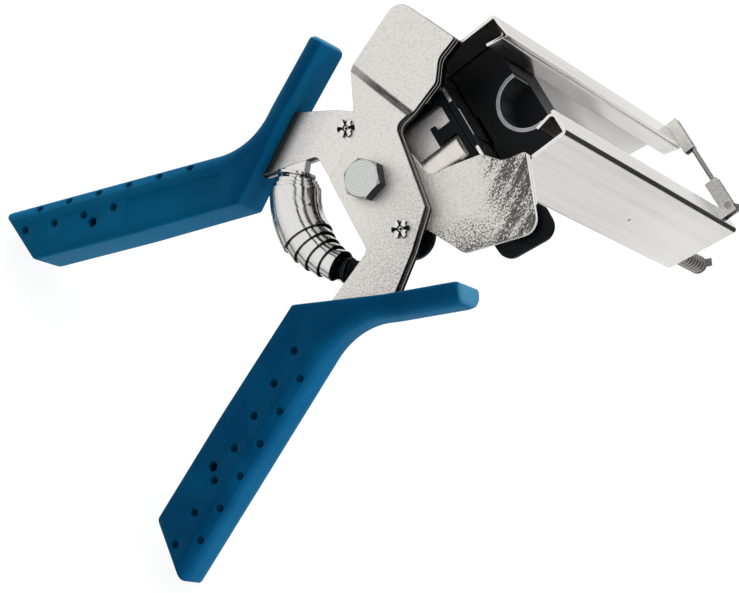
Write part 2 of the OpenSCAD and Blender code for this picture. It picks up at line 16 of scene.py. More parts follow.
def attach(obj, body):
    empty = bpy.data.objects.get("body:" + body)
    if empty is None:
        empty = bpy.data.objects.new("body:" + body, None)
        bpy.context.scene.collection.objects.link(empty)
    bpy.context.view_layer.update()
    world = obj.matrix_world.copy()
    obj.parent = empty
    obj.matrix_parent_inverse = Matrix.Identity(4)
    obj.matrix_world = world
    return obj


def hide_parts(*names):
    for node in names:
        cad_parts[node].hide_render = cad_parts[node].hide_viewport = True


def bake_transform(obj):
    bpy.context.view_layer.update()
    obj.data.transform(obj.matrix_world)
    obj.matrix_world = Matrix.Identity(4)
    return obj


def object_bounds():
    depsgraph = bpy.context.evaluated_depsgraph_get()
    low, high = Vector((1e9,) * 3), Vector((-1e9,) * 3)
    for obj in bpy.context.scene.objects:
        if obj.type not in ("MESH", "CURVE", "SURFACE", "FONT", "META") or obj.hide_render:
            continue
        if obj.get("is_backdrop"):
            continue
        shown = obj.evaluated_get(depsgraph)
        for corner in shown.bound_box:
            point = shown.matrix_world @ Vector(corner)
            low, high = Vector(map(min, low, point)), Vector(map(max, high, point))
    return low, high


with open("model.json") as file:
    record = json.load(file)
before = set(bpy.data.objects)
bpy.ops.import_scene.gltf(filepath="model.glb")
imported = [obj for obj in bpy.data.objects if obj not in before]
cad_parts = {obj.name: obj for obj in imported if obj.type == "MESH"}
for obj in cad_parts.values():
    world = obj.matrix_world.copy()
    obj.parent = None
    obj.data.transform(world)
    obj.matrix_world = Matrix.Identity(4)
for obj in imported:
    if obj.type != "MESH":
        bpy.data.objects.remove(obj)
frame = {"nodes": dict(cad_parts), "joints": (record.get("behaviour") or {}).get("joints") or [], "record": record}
cad_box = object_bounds()
record = frame["record"]

# %% [markdown]
# ## The tool's own frame
# The tool leans on its two butts and on the post at the end of the magazine, so none
# of its sides follow the room's axes. It is far easier to think in the tool's own
# frame: x runs from the pivot to the nose, y to the upper handle and z out of the
# bolt head. The CAD record tells where the pivot is and which way it points, so the
# matrix that carries tool millimetres to room metres is worked out from there. Only
# the depth of the pivot's middle in the stack of four sheets is typed.

# %% Matrix from tool millimetres to room metres
pivot = next(j for j in frame["joints"] if j["name"] == "lower_lever_hinge")
pivot_depth = -4.6                       # tool z of the pivot's middle, behind the front sheet's face
across = Vector(pivot["axis"]).normalized()
upwards = Vector((0, 1, 0))
ahead = upwards.cross(across)
tool_turn = Matrix((ahead, upwards, across)).transposed()
tool_origin = Vector(pivot["pos_m"]) - across * pivot_depth / 1000
to_room = Matrix.Translation(tool_origin) @ tool_turn.to_4x4() @ Matrix.Scale(0.001, 4)


def place(x, y, z):
    return to_room @ Vector((x, y, z))


print("lean of the tool:", round(math.degrees(math.atan2(-across.x, across.z)), 2), "degrees")

# %% [markdown]
# ## Camera
# The view is from above the mouth of the magazine, nearly square to the lever sheets,
# through a long lens, so that both the flat levers and the deep magazine are seen with
# little distortion. A camera can be aimed with a Track To constraint, but a constraint
# can't roll it. Here one quaternion points it and a second one rolls it about its axis.

# %% Aim the camera
def add_object(name, data):
    item = bpy.data.objects.new(name, data)
    bpy.context.collection.objects.link(item)
    return item


camera = add_object("camera", bpy.data.cameras.new("camera"))
camera.location = (-0.47937, -0.43142, 0.88298)
target = Vector((-0.03330, -0.00796, 0.03842))
roll = 23.84
back = (camera.location - target).normalized()
camera.rotation_mode = "QUATERNION"
camera.rotation_quaternion = back.to_track_quat("Z", "Y") @ Quaternion((0, 0, 1), math.radians(roll))
camera.data.sensor_width = 36
camera.data.lens = 111.0
camera.data.clip_start = 0.01
bpy.context.scene.camera = camera
print("camera to target:", round((camera.location - target).length, 3), "m")

# %% [markdown]
# ## Small helpers for shader trees
# Every finish below is a node tree. Written out call by call a tree is long, so these
# helpers add a node with its settings, join two sockets and mix two colours. They keep
# each material short enough to read as a recipe.

# %% Helpers that add nodes
def add_node(tree, kind, inputs=None, **settings):
    node = tree.nodes.new(kind)
    for key, value in settings.items():
        setattr(node, key, value)
    for key, value in (inputs or {}).items():
        if isinstance(value, bpy.types.NodeSocket):
            tree.links.new(value, node.inputs[key])
        else:
            node.inputs[key].default_value = value
    return node


def wire(tree, source, target):
    tree.links.new(source, target)


def blend_node(tree, factor, a, b):
    return add_node(tree, "ShaderNodeMix", {0: factor, 6: a, 7: b}, data_type="RGBA").outputs[2]


def toned(color, factor=1.0):
    """A colour made darker or lighter, with the fourth value that a colour socket asks for."""
    return [min(1.0, c * factor) for c in color] + [1]


print("half of a grey:", toned((0.5, 0.5, 0.5), 0.5))

# %% [markdown]
# ## Sums of masks
# A mask is a number that changes over a surface. Masks are multiplied where both must
# hold, the larger one is taken where either will do, and a ramp carries any measure
# onto the range from 0 to 1. Short names make such sums read like plain formulas.

# %% Helpers for sums and ramps
def math_node(tree, operation, a, b=0.0, clamp=False):
    return add_node(tree, "ShaderNodeMath", {0: a, 1: b}, operation=operation, use_clamp=clamp).outputs[0]


def plus(tree, a, b):
    return math_node(tree, "ADD", a, b)


def minus(tree, a, b):
    return math_node(tree, "SUBTRACT", a, b)


def times(tree, a, b, clamp=False):
    return math_node(tree, "MULTIPLY", a, b, clamp)


def divide(tree, a, b):
    return math_node(tree, "DIVIDE", a, b)


def larger(tree, a, b, clamp=False):
    return math_node(tree, "MAXIMUM", a, b, clamp)


def ramp_node(tree, value, low, high, out_low=0.0, out_high=1.0):
    node = add_node(tree, "ShaderNodeMapRange", {"Value": value, "From Min": low, "From Max": high,
                                                 "To Min": out_low, "To Max": out_high})
    return node.outputs["Result"]


print("sums:", ", ".join(helper.__name__ for helper in (plus, minus, times, divide, larger)))

# %% [markdown]
# ## Noise, places and directions
# The other nodes that come back again and again are the noise, the split of a place
# into its x, y and z, and the dot product, which tells how much of one direction lies
# along another. The distance from an axis is the root of two squares.

# %% Helpers for noise, places and directions
def noise_node(tree, vector, scale, detail, roughness=0.5, distortion=0.0):
    node = add_node(tree, "ShaderNodeTexNoise", {"Vector": vector, "Scale": scale, "Detail": detail,
                                                 "Roughness": roughness, "Distortion": distortion})
    return node.outputs["Fac"]


def split_node(tree, vector):
    return add_node(tree, "ShaderNodeSeparateXYZ", {0: vector}).outputs


def join_node(tree, x, y, z=0.0):
    return add_node(tree, "ShaderNodeCombineXYZ", {0: x, 1: y, 2: z}).outputs[0]


def normal_node(tree):
    return add_node(tree, "ShaderNodeNewGeometry").outputs["Normal"]


def dot_node(tree, a, b):
    return add_node(tree, "ShaderNodeVectorMath", {0: a, 1: b}, operation="DOT_PRODUCT").outputs["Value"]


def reach_node(tree, x, y):
    return math_node(tree, "SQRT", plus(tree, times(tree, x, x), times(tree, y, y)))


print("places:", ", ".join(helper.__name__ for helper in (noise_node, split_node, dot_node, reach_node)))

# %% [markdown]
# ## Groups that several finishes share
# Grain, brushed lines and worn edges belong to more than one finish. Each of them is a
# node group: it is built once, its named inputs are its sizes, and every material
# places it with values of its own.

# %% Helpers for groups
FLOAT, VECTOR = "NodeSocketFloat", "NodeSocketVector"


def new_group(name, inputs, outputs):
    tree = bpy.data.node_groups.new(name, "ShaderNodeTree")
    for label, kind, value in inputs:
        socket = tree.interface.new_socket(label, in_out="INPUT", socket_type=kind)
        if value is not None:
            socket.default_value = value
    for label, kind in outputs:
        tree.interface.new_socket(label, in_out="OUTPUT", socket_type=kind)
    return tree, tree.nodes.new("NodeGroupInput").outputs, tree.nodes.new("NodeGroupOutput").inputs


def place_group(tree, group, inputs):
    return add_node(tree, "ShaderNodeGroup", inputs, node_tree=group).outputs


print("groups so far:", len(bpy.data.node_groups))

# %% [markdown]
# ## Orange peel: the skin of plated sheet
# Sheet steel that is blanked, tumbled and plated is not flat. It has a fine pebbled
# skin that breaks a reflection into grains about half a millimetre wide. A picture
# could hold it, but noise made in the tool's millimetres never repeats or blurs. Two
# noises are added here, a fine one for grains and a broad one for the sheet's waves.

# %% Group: pebbled skin
pebbles, given, made = new_group("pebbled skin", [
    ("Vector", VECTOR, None), ("Grain Size", FLOAT, 0.5), ("Wave Size", FLOAT, 9.0), ("Wave", FLOAT, 0.4)],
    [("Height", FLOAT), ("Grain", FLOAT)])
grain_scale = divide(pebbles, 1.0, given["Grain Size"])
wave_scale = divide(pebbles, 1.0, given["Wave Size"])
fine = noise_node(pebbles, given["Vector"], grain_scale, 3.0, 0.6)
broad = noise_node(pebbles, given["Vector"], wave_scale, 1.0)
crisp = ramp_node(pebbles, fine, 0.35, 0.65)
wire(pebbles, plus(pebbles, crisp, times(pebbles, broad, given["Wave"])), made["Height"])
wire(pebbles, crisp, made["Grain"])
print("pebbled skin:", len(pebbles.nodes), "nodes")

# %% [markdown]
# ## Brushed lines
# Rolling and brushing draw every mark out in one direction. The same noise gives this
# when its space is squeezed along one axis: a mark that is one unit round becomes as
# long as the squeeze is strong. The caller turns the pattern with its own Mapping.

# %% Group: brushed lines
brushing, given, made = new_group("brushed lines", [
    ("Vector", VECTOR, None), ("Line Width", FLOAT, 0.25), ("Length", FLOAT, 40.0)],
    [("Height", FLOAT), ("Streak", FLOAT)])
patch_share = 0.12                       # scale of the broad patches, as a share of the lines' scale
line_scale = divide(brushing, 1.0, given["Line Width"])
split = split_node(brushing, given["Vector"])
squeezed = join_node(brushing, divide(brushing, split[0], given["Length"]), split[1], split[2])
lines = noise_node(brushing, squeezed, line_scale, 2.0, 0.7)
patches = noise_node(brushing, squeezed, times(brushing, line_scale, patch_share), 1.0)
wire(brushing, lines, made["Height"])
wire(brushing, ramp_node(brushing, times(brushing, lines, patches), 0.14, 0.36), made["Streak"])
print("brushed lines:", len(brushing.nodes), "nodes")

# %% [markdown]
# ## Worn edges and painted edge highlights
# Plating and paint thin out first where parts rub: on the outer edges. Cycles' Bevel
# node gives the normal a surface would have with rounder edges. Where that differs
# from the real normal there is an edge, and a little noise breaks the line up. Black
# steel uses the mask for real wear; the other finishes use it for a painted highlight.

# %% Group: worn and highlighted edges
edge_wear_and_highlight, given, made = new_group("worn and highlighted edges", [
    ("Vector", VECTOR, None), ("Radius", FLOAT, 0.0004), ("Breakup", FLOAT, 0.5)], [("Mask", FLOAT)])
rounder = add_node(edge_wear_and_highlight, "ShaderNodeBevel", {"Radius": given["Radius"]}, samples=4).outputs[0]
bend = minus(edge_wear_and_highlight, 1.0, dot_node(edge_wear_and_highlight, rounder, normal_node(edge_wear_and_highlight)))
chips = noise_node(edge_wear_and_highlight, given["Vector"], 1.1, 3.0)
uneven = times(edge_wear_and_highlight, times(edge_wear_and_highlight, chips, given["Breakup"]), 0.12)
wire(edge_wear_and_highlight, ramp_node(edge_wear_and_highlight, minus(edge_wear_and_highlight, bend, uneven), 0.02, 0.12), made["Mask"])
print("worn and highlighted edges:", len(edge_wear_and_highlight.nodes), "nodes")

# %% [markdown]
# ## One start for every material
# All finishes read the same coordinates: the tool's own frame in millimetres. A
# Texture Coordinate gives room metres, and a Mapping of the Texture kind takes the
# tool's place, turn and scale back out of them. A grain of 0.5 is then half a
# millimetre on every part, and a brushed line can follow the length of the magazine.

# %% Start a material in tool millimetres
def start_finish(name, color, metallic, roughness):
    material = bpy.data.materials.new(name)
    material.use_nodes = True
    tree = material.node_tree
    shader = tree.nodes["Principled BSDF"]
    for label, value in (("Base Color", toned(color)), ("Metallic", metallic), ("Roughness", roughness)):
        shader.inputs[label].default_value = value
    material.diffuse_color = toned(color)
    room = add_node(tree, "ShaderNodeTexCoord").outputs["Object"]
    tool = add_node(tree, "ShaderNodeMapping", {"Vector": room, "Location": tool_origin,
                    "Rotation": tool_turn.to_euler(), "Scale": (0.001, 0.001, 0.001)}, vector_type="TEXTURE")
    return material, tree, shader, tool.outputs[0]


def turned(tree, vector, angle, axis=2):
    turn = [0.0, 0.0, 0.0]
    turn[axis] = math.radians(angle)
    return add_node(tree, "ShaderNodeMapping", {"Vector": vector, "Rotation": turn},
                    vector_type="TEXTURE").outputs[0]


def brushed_at(tree, vector, line_width, length):
    return place_group(tree, brushing, {"Vector": vector, "Line Width": line_width, "Length": length})


def relief(tree, shader, height, distance):
    bump = add_node(tree, "ShaderNodeBump", {"Height": height, "Distance": distance})
    wire(tree, bump.outputs[0], shader.inputs["Normal"])


def uneven_roughness(tree, mask, roughness, below, above):
    return ramp_node(tree, mask, 0.0, 1.0, roughness - below, roughness + above)


print("tool's turn in the room:", [round(math.degrees(a), 2) for a in tool_turn.to_euler()], "degrees")

# %% [markdown]
# ## Masks that know where they are
# Painted shade, painted highlights and cut sides have their place on the tool. A
# straight front is the distance past a point, measured in the sheet's plane. The cut
# sides of a sheet are the faces whose normal stands square to the pivot's axis.
# Painting such masks by hand would need a picture for each part, and these two follow
# the part by themselves.

# %% Masks in the tool's millimetres
def reach_past(tree, tool, point, towards):
    """How far a place lies past a point, measured along a direction in the sheet's plane."""
    aim = Vector((*towards, 0)).normalized()
    return minus(tree, dot_node(tree, tool, aim), aim.dot(Vector((*point, 0))))


def side_mask(tree, low=0.30, high=0.60):
    """White on faces that stand square to the sheets, black on the sheets themselves."""
    facing = math_node(tree, "ABSOLUTE", dot_node(tree, normal_node(tree), across))
    return ramp_node(tree, facing, low, high, 1.0, 0.0)


print("masks:", reach_past.__name__, "and", side_mask.__name__)

# %% [markdown]
# ## Finish: nickel-plated lever sheet
# The levers are satin nickel, a warm light grey with the pebbled skin above and fine
# specks in the plating. It is a metal, so its colour is the reflection's tint. The
# grain works twice: as a bump that scatters the highlights and as small changes in
# roughness. The cut sides of a sheet are painted nearly black, a painted dark
# reflection, and its rounded edges get a painted highlight. On one head the sides are
# painted pale instead, a painted highlight that is not metal.

# %% Material: nickel sheet
# painted dark reflection for cut sides, painted highlight for the sides of one head
painted_dark_reflection = (0.012, 0.013, 0.016)
painted_side_highlight = (0.90, 0.89, 0.86)


def nickel_finish(name, color, shade=None, grain=0.42, grain_depth=0.00006, brushed=0.0, highlighted_sides=False):
    roughness = 0.30
    material, tree, shader, tool = start_finish(name, color, 1.0, roughness)
    skin = place_group(tree, pebbles, {"Vector": tool, "Grain Size": grain})
    edge = place_group(tree, edge_wear_and_highlight, {"Vector": tool, "Breakup": 0.4})["Mask"]
    specks = ramp_node(tree, noise_node(tree, tool, 0.95, 4.0, 0.8), 0.50, 0.64)
    tint = blend_node(tree, times(tree, specks, 0.55), toned(color), toned(color, 0.62))
    tint = blend_node(tree, times(tree, skin["Grain"], 0.10), tint, toned(color, 0.62))
    if shade:
        tint = blend_node(tree, shade(tree, tool), tint, toned(color, 0.09))
    sides = side_mask(tree)
    # Painted light: the cut sides are painted nearly black as a dark reflection, or pale as a highlight.
    tint = blend_node(tree, sides, tint, toned(painted_side_highlight if highlighted_sides else painted_dark_reflection))
    if highlighted_sides:
        wire(tree, minus(tree, 1.0, sides), shader.inputs["Metallic"])
    else:
        # Painted highlight along the rounded edges.
        tint = blend_node(tree, edge, tint, toned(color, 1.16))
    wire(tree, tint, shader.inputs["Base Color"])
    rough = uneven_roughness(tree, skin["Grain"], roughness, 0.05, 0.07)
    wire(tree, minus(tree, rough, times(tree, edge, 0.12)), shader.inputs["Roughness"])
    height = skin["Height"]
    if brushed:
        streaks = brushed_at(tree, turned(tree, tool, -60), 0.3, 30.0)
        height = plus(tree, height, times(tree, streaks["Height"], brushed))
    relief(tree, shader, height, grain_depth)
    return material


nickel = nickel_finish("nickel sheet", (0.80, 0.775, 0.74))
print("nickel sheet:", len(nickel.node_tree.nodes), "nodes")

# %% [markdown]
# ## Where shade is painted on the levers
# The front sheet is bent back by one thickness along a crease, and the crease is
# painted dark, a painted shade. Below it the sheet is painted darker towards its lower
# edge, also a painted shade. The other front sheet is painted darker next to the guard
# of its grip, a painted shadow and reflection of the grip. Each place is a straight
# line on the sheet, so its mask is a ramp on the distance from that line, broken up by
# brushed streaks or by speckles.

# %% Material: nickel with painted shade in the crease, nickel with painted shade by the grip
crease_point, crease_end, crease_way = (24.8, 26.0), (24.0, 36.0), (0.943, 0.332)
lower_shade_point, lower_shade_way = (8.0, -4.0), (0.35, -0.94)
elbow = Vector((-55.1, -27.3))           # where the guard of the lower grip meets its bar
guard_tilt = math.radians(29.5)
upper_elbow = (elbow.x, -elbow.y)


# Painted shade: dark in the crease and darker towards the lower edge.
def crease_painted_shade(tree, tool):
    streaks = brushed_at(tree, turned(tree, tool, 109), 0.35, 14.0)
    step = reach_past(tree, tool, crease_point, crease_way)
    inside = times(tree, ramp_node(tree, step, -0.5, 0.4), ramp_node(tree, step, 3.1, 2.2))
    sideways = reach_past(tree, tool, crease_end, (crease_way[1], -crease_way[0]))
    inside = times(tree, inside, ramp_node(tree, sideways, -10.0, 3.0))
    inside = times(tree, inside, ramp_node(tree, streaks["Streak"], 0.0, 0.7, 0.45, 1.0))
    low = ramp_node(tree, reach_past(tree, tool, lower_shade_point, lower_shade_way), 0.0, 34.0, 0.05, 0.60)
    lower_shade = times(tree, low, ramp_node(tree, noise_node(tree, tool, 1.1, 4.0, 0.85), 0.44, 0.58))
    return larger(tree, inside, lower_shade, clamp=True)


# Painted shadow and reflection of the grip, next to its guard.
def grip_painted_shade(tree, tool):
    beside = reach_past(tree, tool, upper_elbow, (math.sin(guard_tilt), -math.cos(guard_tilt)))
    speckle = noise_node(tree, tool, 1.1, 4.0, 0.8)
    near = ramp_node(tree, plus(tree, beside, times(tree, speckle, 2.0)), 9.5, 3.5)
    far = times(tree, ramp_node(tree, beside, 20.0, 4.0, 0.0, 0.35), ramp_node(tree, speckle, 0.4, 0.6))
    return larger(tree, near, far, clamp=True)


crease_shaded_nickel = nickel_finish("nickel with painted crease shade", (0.82, 0.795, 0.76), crease_painted_shade)
grip_shaded_nickel = nickel_finish("nickel with painted grip shade", (0.84, 0.81, 0.775), grip_painted_shade)
print("nickel variants:", crease_shaded_nickel.name, "and", grip_shaded_nickel.name)

# %% [markdown]
# ## Finish: the same nickel on the clinching head
# The head that hangs below the pivot is painted darker towards its nose and along its
# lower hem, a painted shade. The darkening is a mask: a soft front from each of the
# two, made uneven by a cloud, and broken up by grains and by brushed lines across the
# nose.

# %% Material: nickel with painted shade on the clinching head
nose_point, nose_way = (63.8, -30.2), (0.931, -0.367)
hem_point, hem_way = (51.0, -62.7), (-0.353, -0.936)


# Painted shade towards the nose and along the hem, broken up by the steel's grains and brushed lines.
def nose_painted_shade(tree, tool):
    streaks = brushed_at(tree, turned(tree, tool, 28), 0.5, 7.0)
    nose = ramp_node(tree, reach_past(tree, tool, nose_point, nose_way), -27.0, -6.0)
    hem = ramp_node(tree, reach_past(tree, tool, hem_point, hem_way), -22.0, 0.0, 0.0, 0.8)
    cloud = minus(tree, noise_node(tree, tool, 0.11, 2.0), 0.5)
    wear_and_shade = plus(tree, larger(tree, nose, hem), times(tree, cloud, 0.5))
    grains = minus(tree, noise_node(tree, tool, 1.15, 3.0, 0.8), 0.5)
    lines = times(tree, minus(tree, streaks["Streak"], 0.5), nose)
    cut = plus(tree, wear_and_shade, plus(tree, times(tree, grains, 5.0), times(tree, lines, 1.6)))
    allowed = ramp_node(tree, wear_and_shade, 0.04, 0.42, 0.0, 0.96)
    return times(tree, ramp_node(tree, cut, 0.45, 0.80), allowed, clamp=True)


shaded_head_nickel = nickel_finish("nickel with painted head shade", (0.80, 0.77, 0.73), nose_painted_shade, grain=0.55,
                               grain_depth=0.00009, brushed=0.5, highlighted_sides=True)
print("nickel with painted head shade:", len(shaded_head_nickel.node_tree.nodes), "nodes")

# %% [markdown]
# ## Masks for folded and wound sheet
# Inside the channel, past the pusher, two bright walls face each other and show only
# each other's light, so those faces are painted paler than the mouth, a painted light.
# They are the ones whose normal points back to the middle. The volute's strip gets
# painted black rims, a painted shade: those faces point along the arc it is wound on,
# which turns with the angle about the pivot.

# %% Masks: inner faces and rims
def inward_mask(tree, tool):
    """White on the channel's inner side faces, past the pusher."""
    spot = split_node(tree, tool)
    sideways = dot_node(tree, normal_node(tree), upwards)
    inward = ramp_node(tree, times(tree, sideways, spot[1]), -12.0, -22.0)
    return times(tree, inward, ramp_node(tree, spot[2], -48.0, -92.0))


def rim_shade_mask(tree, tool):
    """White on the rims of a strip that is wound about the pivot's arc."""
    normal, spot = normal_node(tree), split_node(tree, tool)
    along = minus(tree, times(tree, dot_node(tree, normal, upwards), spot[0]),
                  times(tree, dot_node(tree, normal, ahead), spot[1]))
    share = divide(tree, along, reach_node(tree, spot[0], spot[1]))
    return ramp_node(tree, math_node(tree, "ABSOLUTE", share), 0.40, 0.62)


print("masks:", inward_mask.__name__, "and", rim_shade_mask.__name__)

# %% [markdown]
# ## Finish: polished magazine sheet
# The magazine is folded from bright sheet and polished along its length. Its faces
# mirror the floor and the light, drawn out into long soft streaks. So the roughness is
# low, and a quarter turn about y lays the brushed lines along the tool's z. The strips
# of the springs and the rib share the recipe, most of them with the lines across.

# %% Material: polished sheet
# painted light inside the channel and at its far end, painted edge highlight, painted rim shade
painted_far_light, painted_inner_light, painted_edge_highlight = (0.97, 0.965, 0.95), (0.96, 0.955, 0.94), (0.97, 0.96, 0.94)
painted_rim_shade = (0.006, 0.006, 0.008)
LENGTHWAYS, CROSSWAYS = 1, 2             # the axis of the quarter turn: y lays lines along z, z along y


def polished_finish(name, color, roughness, line_depth, axis=LENGTHWAYS, inner=0.0, shaded_rims=False):
    material, tree, shader, tool = start_finish(name, color, 1.0, roughness)
    streaks = brushed_at(tree, turned(tree, tool, 90, axis), 0.55, 90.0)
    skin = place_group(tree, pebbles, {"Vector": tool, "Grain Size": 0.8, "Wave Size": 22.0, "Wave": 3.0})
    edge = place_group(tree, edge_wear_and_highlight, {"Vector": tool, "Breakup": 0.2})["Mask"]
    tint = blend_node(tree, times(tree, streaks["Streak"], 0.22), toned(color), toned(color, 0.7))
    # Painted light: the inner faces are painted paler and not metal, and the far end paler.
    if inner:
        inward = times(tree, inward_mask(tree, tool), inner)
        far = ramp_node(tree, split_node(tree, tool)[2], -110.0, -190.0, 0.0, 0.7)
        tint = blend_node(tree, far, tint, toned(painted_far_light))
        tint = blend_node(tree, inward, tint, toned(painted_inner_light))
        wire(tree, minus(tree, 1.0, inward), shader.inputs["Metallic"])
    # Painted highlight along the edges.
    tint = blend_node(tree, edge, tint, toned(painted_edge_highlight))
    # Painted shade on the volute's rims.
    if shaded_rims:
        tint = blend_node(tree, rim_shade_mask(tree, tool), tint, toned(painted_rim_shade))
    wire(tree, tint, shader.inputs["Base Color"])
    wire(tree, uneven_roughness(tree, streaks["Streak"], roughness, 0.0, 0.1), shader.inputs["Roughness"])
    height = plus(tree, times(tree, streaks["Height"], 0.5), times(tree, skin["Height"], 0.35))
    relief(tree, shader, height, line_depth)
    return material


strip_color, strip_roughness, strip_lines = (0.74, 0.735, 0.72), 0.07, 0.00002
polished = polished_finish("polished sheet", (0.80, 0.79, 0.775), 0.13, 0.00003, inner=0.8)
strip_steel = polished_finish("polished strip", strip_color, strip_roughness, strip_lines, CROSSWAYS)
volute_steel = polished_finish("volute strip", strip_color, strip_roughness, strip_lines, CROSSWAYS,
                               shaded_rims=True)
rib_steel = polished_finish("rib steel", (0.76, 0.72, 0.67), 0.24, 0.00005, CROSSWAYS)
grey_strip = polished_finish("grey strip", (0.42, 0.41, 0.40), 0.16, 0.00003)
dull_strip = polished_finish("dull strip", (0.30, 0.31, 0.32), 0.24, 0.00002)
print("polished sheet:", len(polished.node_tree.nodes), "nodes")

# %% [markdown]
# ## Finish: turned and staked fasteners
# A bolt head is faced on a lathe, which leaves fine rings round its axis. Rings are a
# sine of the distance from the axis, with a little wander. The lever rivets are staked:
# a punch has spread each rim into four lands and left four wedges. Painted shade darkens
# the wedges and the middle, which a cosine of the angle gives, and the sides of the
# bolt head and the rivets. Every zinc part gets a painted highlight on its edges. The
# other fasteners are plain zinc.

# %% Material: zinc, with and without turning rings
painted_shade_black = (0.006, 0.007, 0.010)


def bite_shade_mask(tree, tool, centre):
    """Painted shade: four dark wedges and a dark middle on a staked head."""
    spot = split_node(tree, tool)
    x, y = minus(tree, spot[0], centre[0]), minus(tree, spot[1], centre[1])
    reach = reach_node(tree, x, y)
    turn = math_node(tree, "ARCTAN2", y, x)
    wave = math_node(tree, "COSINE", times(tree, plus(tree, turn, 0.5), 4.0))
    wedge = times(tree, ramp_node(tree, wave, 0.05, 0.45), ramp_node(tree, reach, 1.0, 1.3))
    wedge = times(tree, wedge, ramp_node(tree, reach, 4.4, 4.2))
    return larger(tree, wedge, ramp_node(tree, reach, 0.8, 0.6))


def zinc_finish(name, color, roughness, rings=0.0, painted_dark_sides=None, shaded_bites=()):
    material, tree, shader, tool = start_finish(name, color, 1.0, roughness)
    skin = place_group(tree, pebbles, {"Vector": tool, "Grain Size": 0.35})
    edge = place_group(tree, edge_wear_and_highlight, {"Vector": tool, "Breakup": 0.3})["Mask"]
    height = times(tree, skin["Height"], 0.3)
    tint = blend_node(tree, times(tree, skin["Grain"], 0.25), toned(color), toned(color, 0.6))
    if rings:
        spot = split_node(tree, tool)
        wander = times(tree, noise_node(tree, tool, 0.35, 2.0), 0.7)
        reach = plus(tree, reach_node(tree, spot[0], spot[1]), wander)
        ring = math_node(tree, "SINE", times(tree, reach, 5.2))
        height = plus(tree, height, times(tree, ring, rings))
        tint = blend_node(tree, ramp_node(tree, ring, 0.2, 1.0, 0.0, 0.45), tint, toned(color, 0.4))
    # Painted highlight along the edges.
    tint = blend_node(tree, edge, tint, toned(color, 1.25))
    # Painted shade on the sides and in the bites of the rivets.
    if painted_dark_sides:
        tint = blend_node(tree, side_mask(tree, *painted_dark_sides), tint, toned(painted_shade_black))
    for centre in shaded_bites:
        tint = blend_node(tree, bite_shade_mask(tree, tool, centre), tint, toned(painted_shade_black))
    wire(tree, tint, shader.inputs["Base Color"])
    wire(tree, uneven_roughness(tree, skin["Grain"], roughness, 0.04, 0.08), shader.inputs["Roughness"])
    relief(tree, shader, height, 0.00004)
    return material


rivet_spots = ((2.3, -27.6), (2.3, 27.6))
turned_zinc = zinc_finish("turned zinc", (0.66, 0.68, 0.65), 0.26, 0.9, (0.30, 0.55))
plain_zinc = zinc_finish("plain zinc", (0.60, 0.60, 0.58), 0.28)
staked_zinc = zinc_finish("staked zinc", (0.80, 0.79, 0.76), 0.16, 0.0, (0.74, 0.93), rivet_spots)
print("turned zinc:", len(turned_zinc.node_tree.nodes), "nodes")

# %% [markdown]
# ## Finish: black steel
# The guide plate between the levers and the magazine is black, with a dull phosphate
# skin over bright steel, so its rubbed edges turn grey. The skin is no metal: it is set
# as a dark, half rough dielectric with little shine, and only where the wear mask is
# white does it become lighter and metallic.

# %% Material: black steel
rubbed_grey = (0.35, 0.35, 0.35)


def black_finish(name, color, roughness, rubbed, shine):
    material, tree, shader, tool = start_finish(name, color, 0.0, roughness)
    shader.inputs["Specular IOR Level"].default_value = shine
    skin = place_group(tree, pebbles, {"Vector": tool, "Grain Size": 0.3})
    edge = place_group(tree, edge_wear_and_highlight, {"Vector": tool, "Breakup": 0.8})["Mask"]
    cloud = ramp_node(tree, noise_node(tree, tool, 0.16, 3.0), 0.45, 0.8, 0.0, 0.5)
    dusty = blend_node(tree, cloud, toned(color), toned(color, 3.0))
    wear_and_shade = times(tree, edge, rubbed)
    wire(tree, blend_node(tree, wear_and_shade, dusty, toned(rubbed_grey)), shader.inputs["Base Color"])
    wire(tree, wear_and_shade, shader.inputs["Metallic"])
    wire(tree, uneven_roughness(tree, skin["Grain"], roughness, 0.06, 0.08), shader.inputs["Roughness"])
    relief(tree, shader, skin["Height"], 0.00003)
    return material


black_steel = black_finish("black steel", (0.003, 0.004, 0.006), 0.42, rubbed=0.6, shine=0.12)
print("black steel:", len(black_steel.node_tree.nodes), "nodes")

# %% [markdown]
# ## Wear and painted light on the grips
# The grips are paler in three places: their flanks and the bar of the upper grip are
# painted lighter, a painted light, and the tips of the guards are worn. The dimples are
# painted darker, a painted shade. The first three are masks made of places and normals.
# The dimples are marked on the mesh itself, as a face attribute that the shader reads.

# %% Paler and darker places of a grip
worn_blue = (0.10, 0.36, 0.55)
worn_from, worn_to = 78.3, 79.3          # millimetres along the guard from the elbow


def wear_and_painted_light(tree, tool, tint, color, light, paler):
    spot = split_node(tree, tool)
    folded = join_node(tree, spot[0], math_node(tree, "ABSOLUTE", spot[1]))
    tip = reach_past(tree, folded, upper_elbow, (math.cos(guard_tilt), math.sin(guard_tilt)))
    bar = times(tree, ramp_node(tree, spot[0], -40.0, -85.0), ramp_node(tree, spot[1], 0.0, 20.0))
    # Painted light on the flanks and on the bar; the tips of the guards are worn.
    for mask, amount, shade in ((side_mask(tree, 0.2, 0.7), paler * 0.45, light),
                                (ramp_node(tree, tip, worn_from, worn_to), paler, worn_blue),
                                (bar, paler, light)):
        tint = blend_node(tree, times(tree, mask, amount), tint, toned(shade))
    # Painted shade in the dimples.
    hollow = add_node(tree, "ShaderNodeAttribute", attribute_name="hollow").outputs["Fac"]
    return blend_node(tree, times(tree, hollow, 0.45), tint, toned(color, 0.12))


print("worn tips start", worn_from, "mm from the elbow")

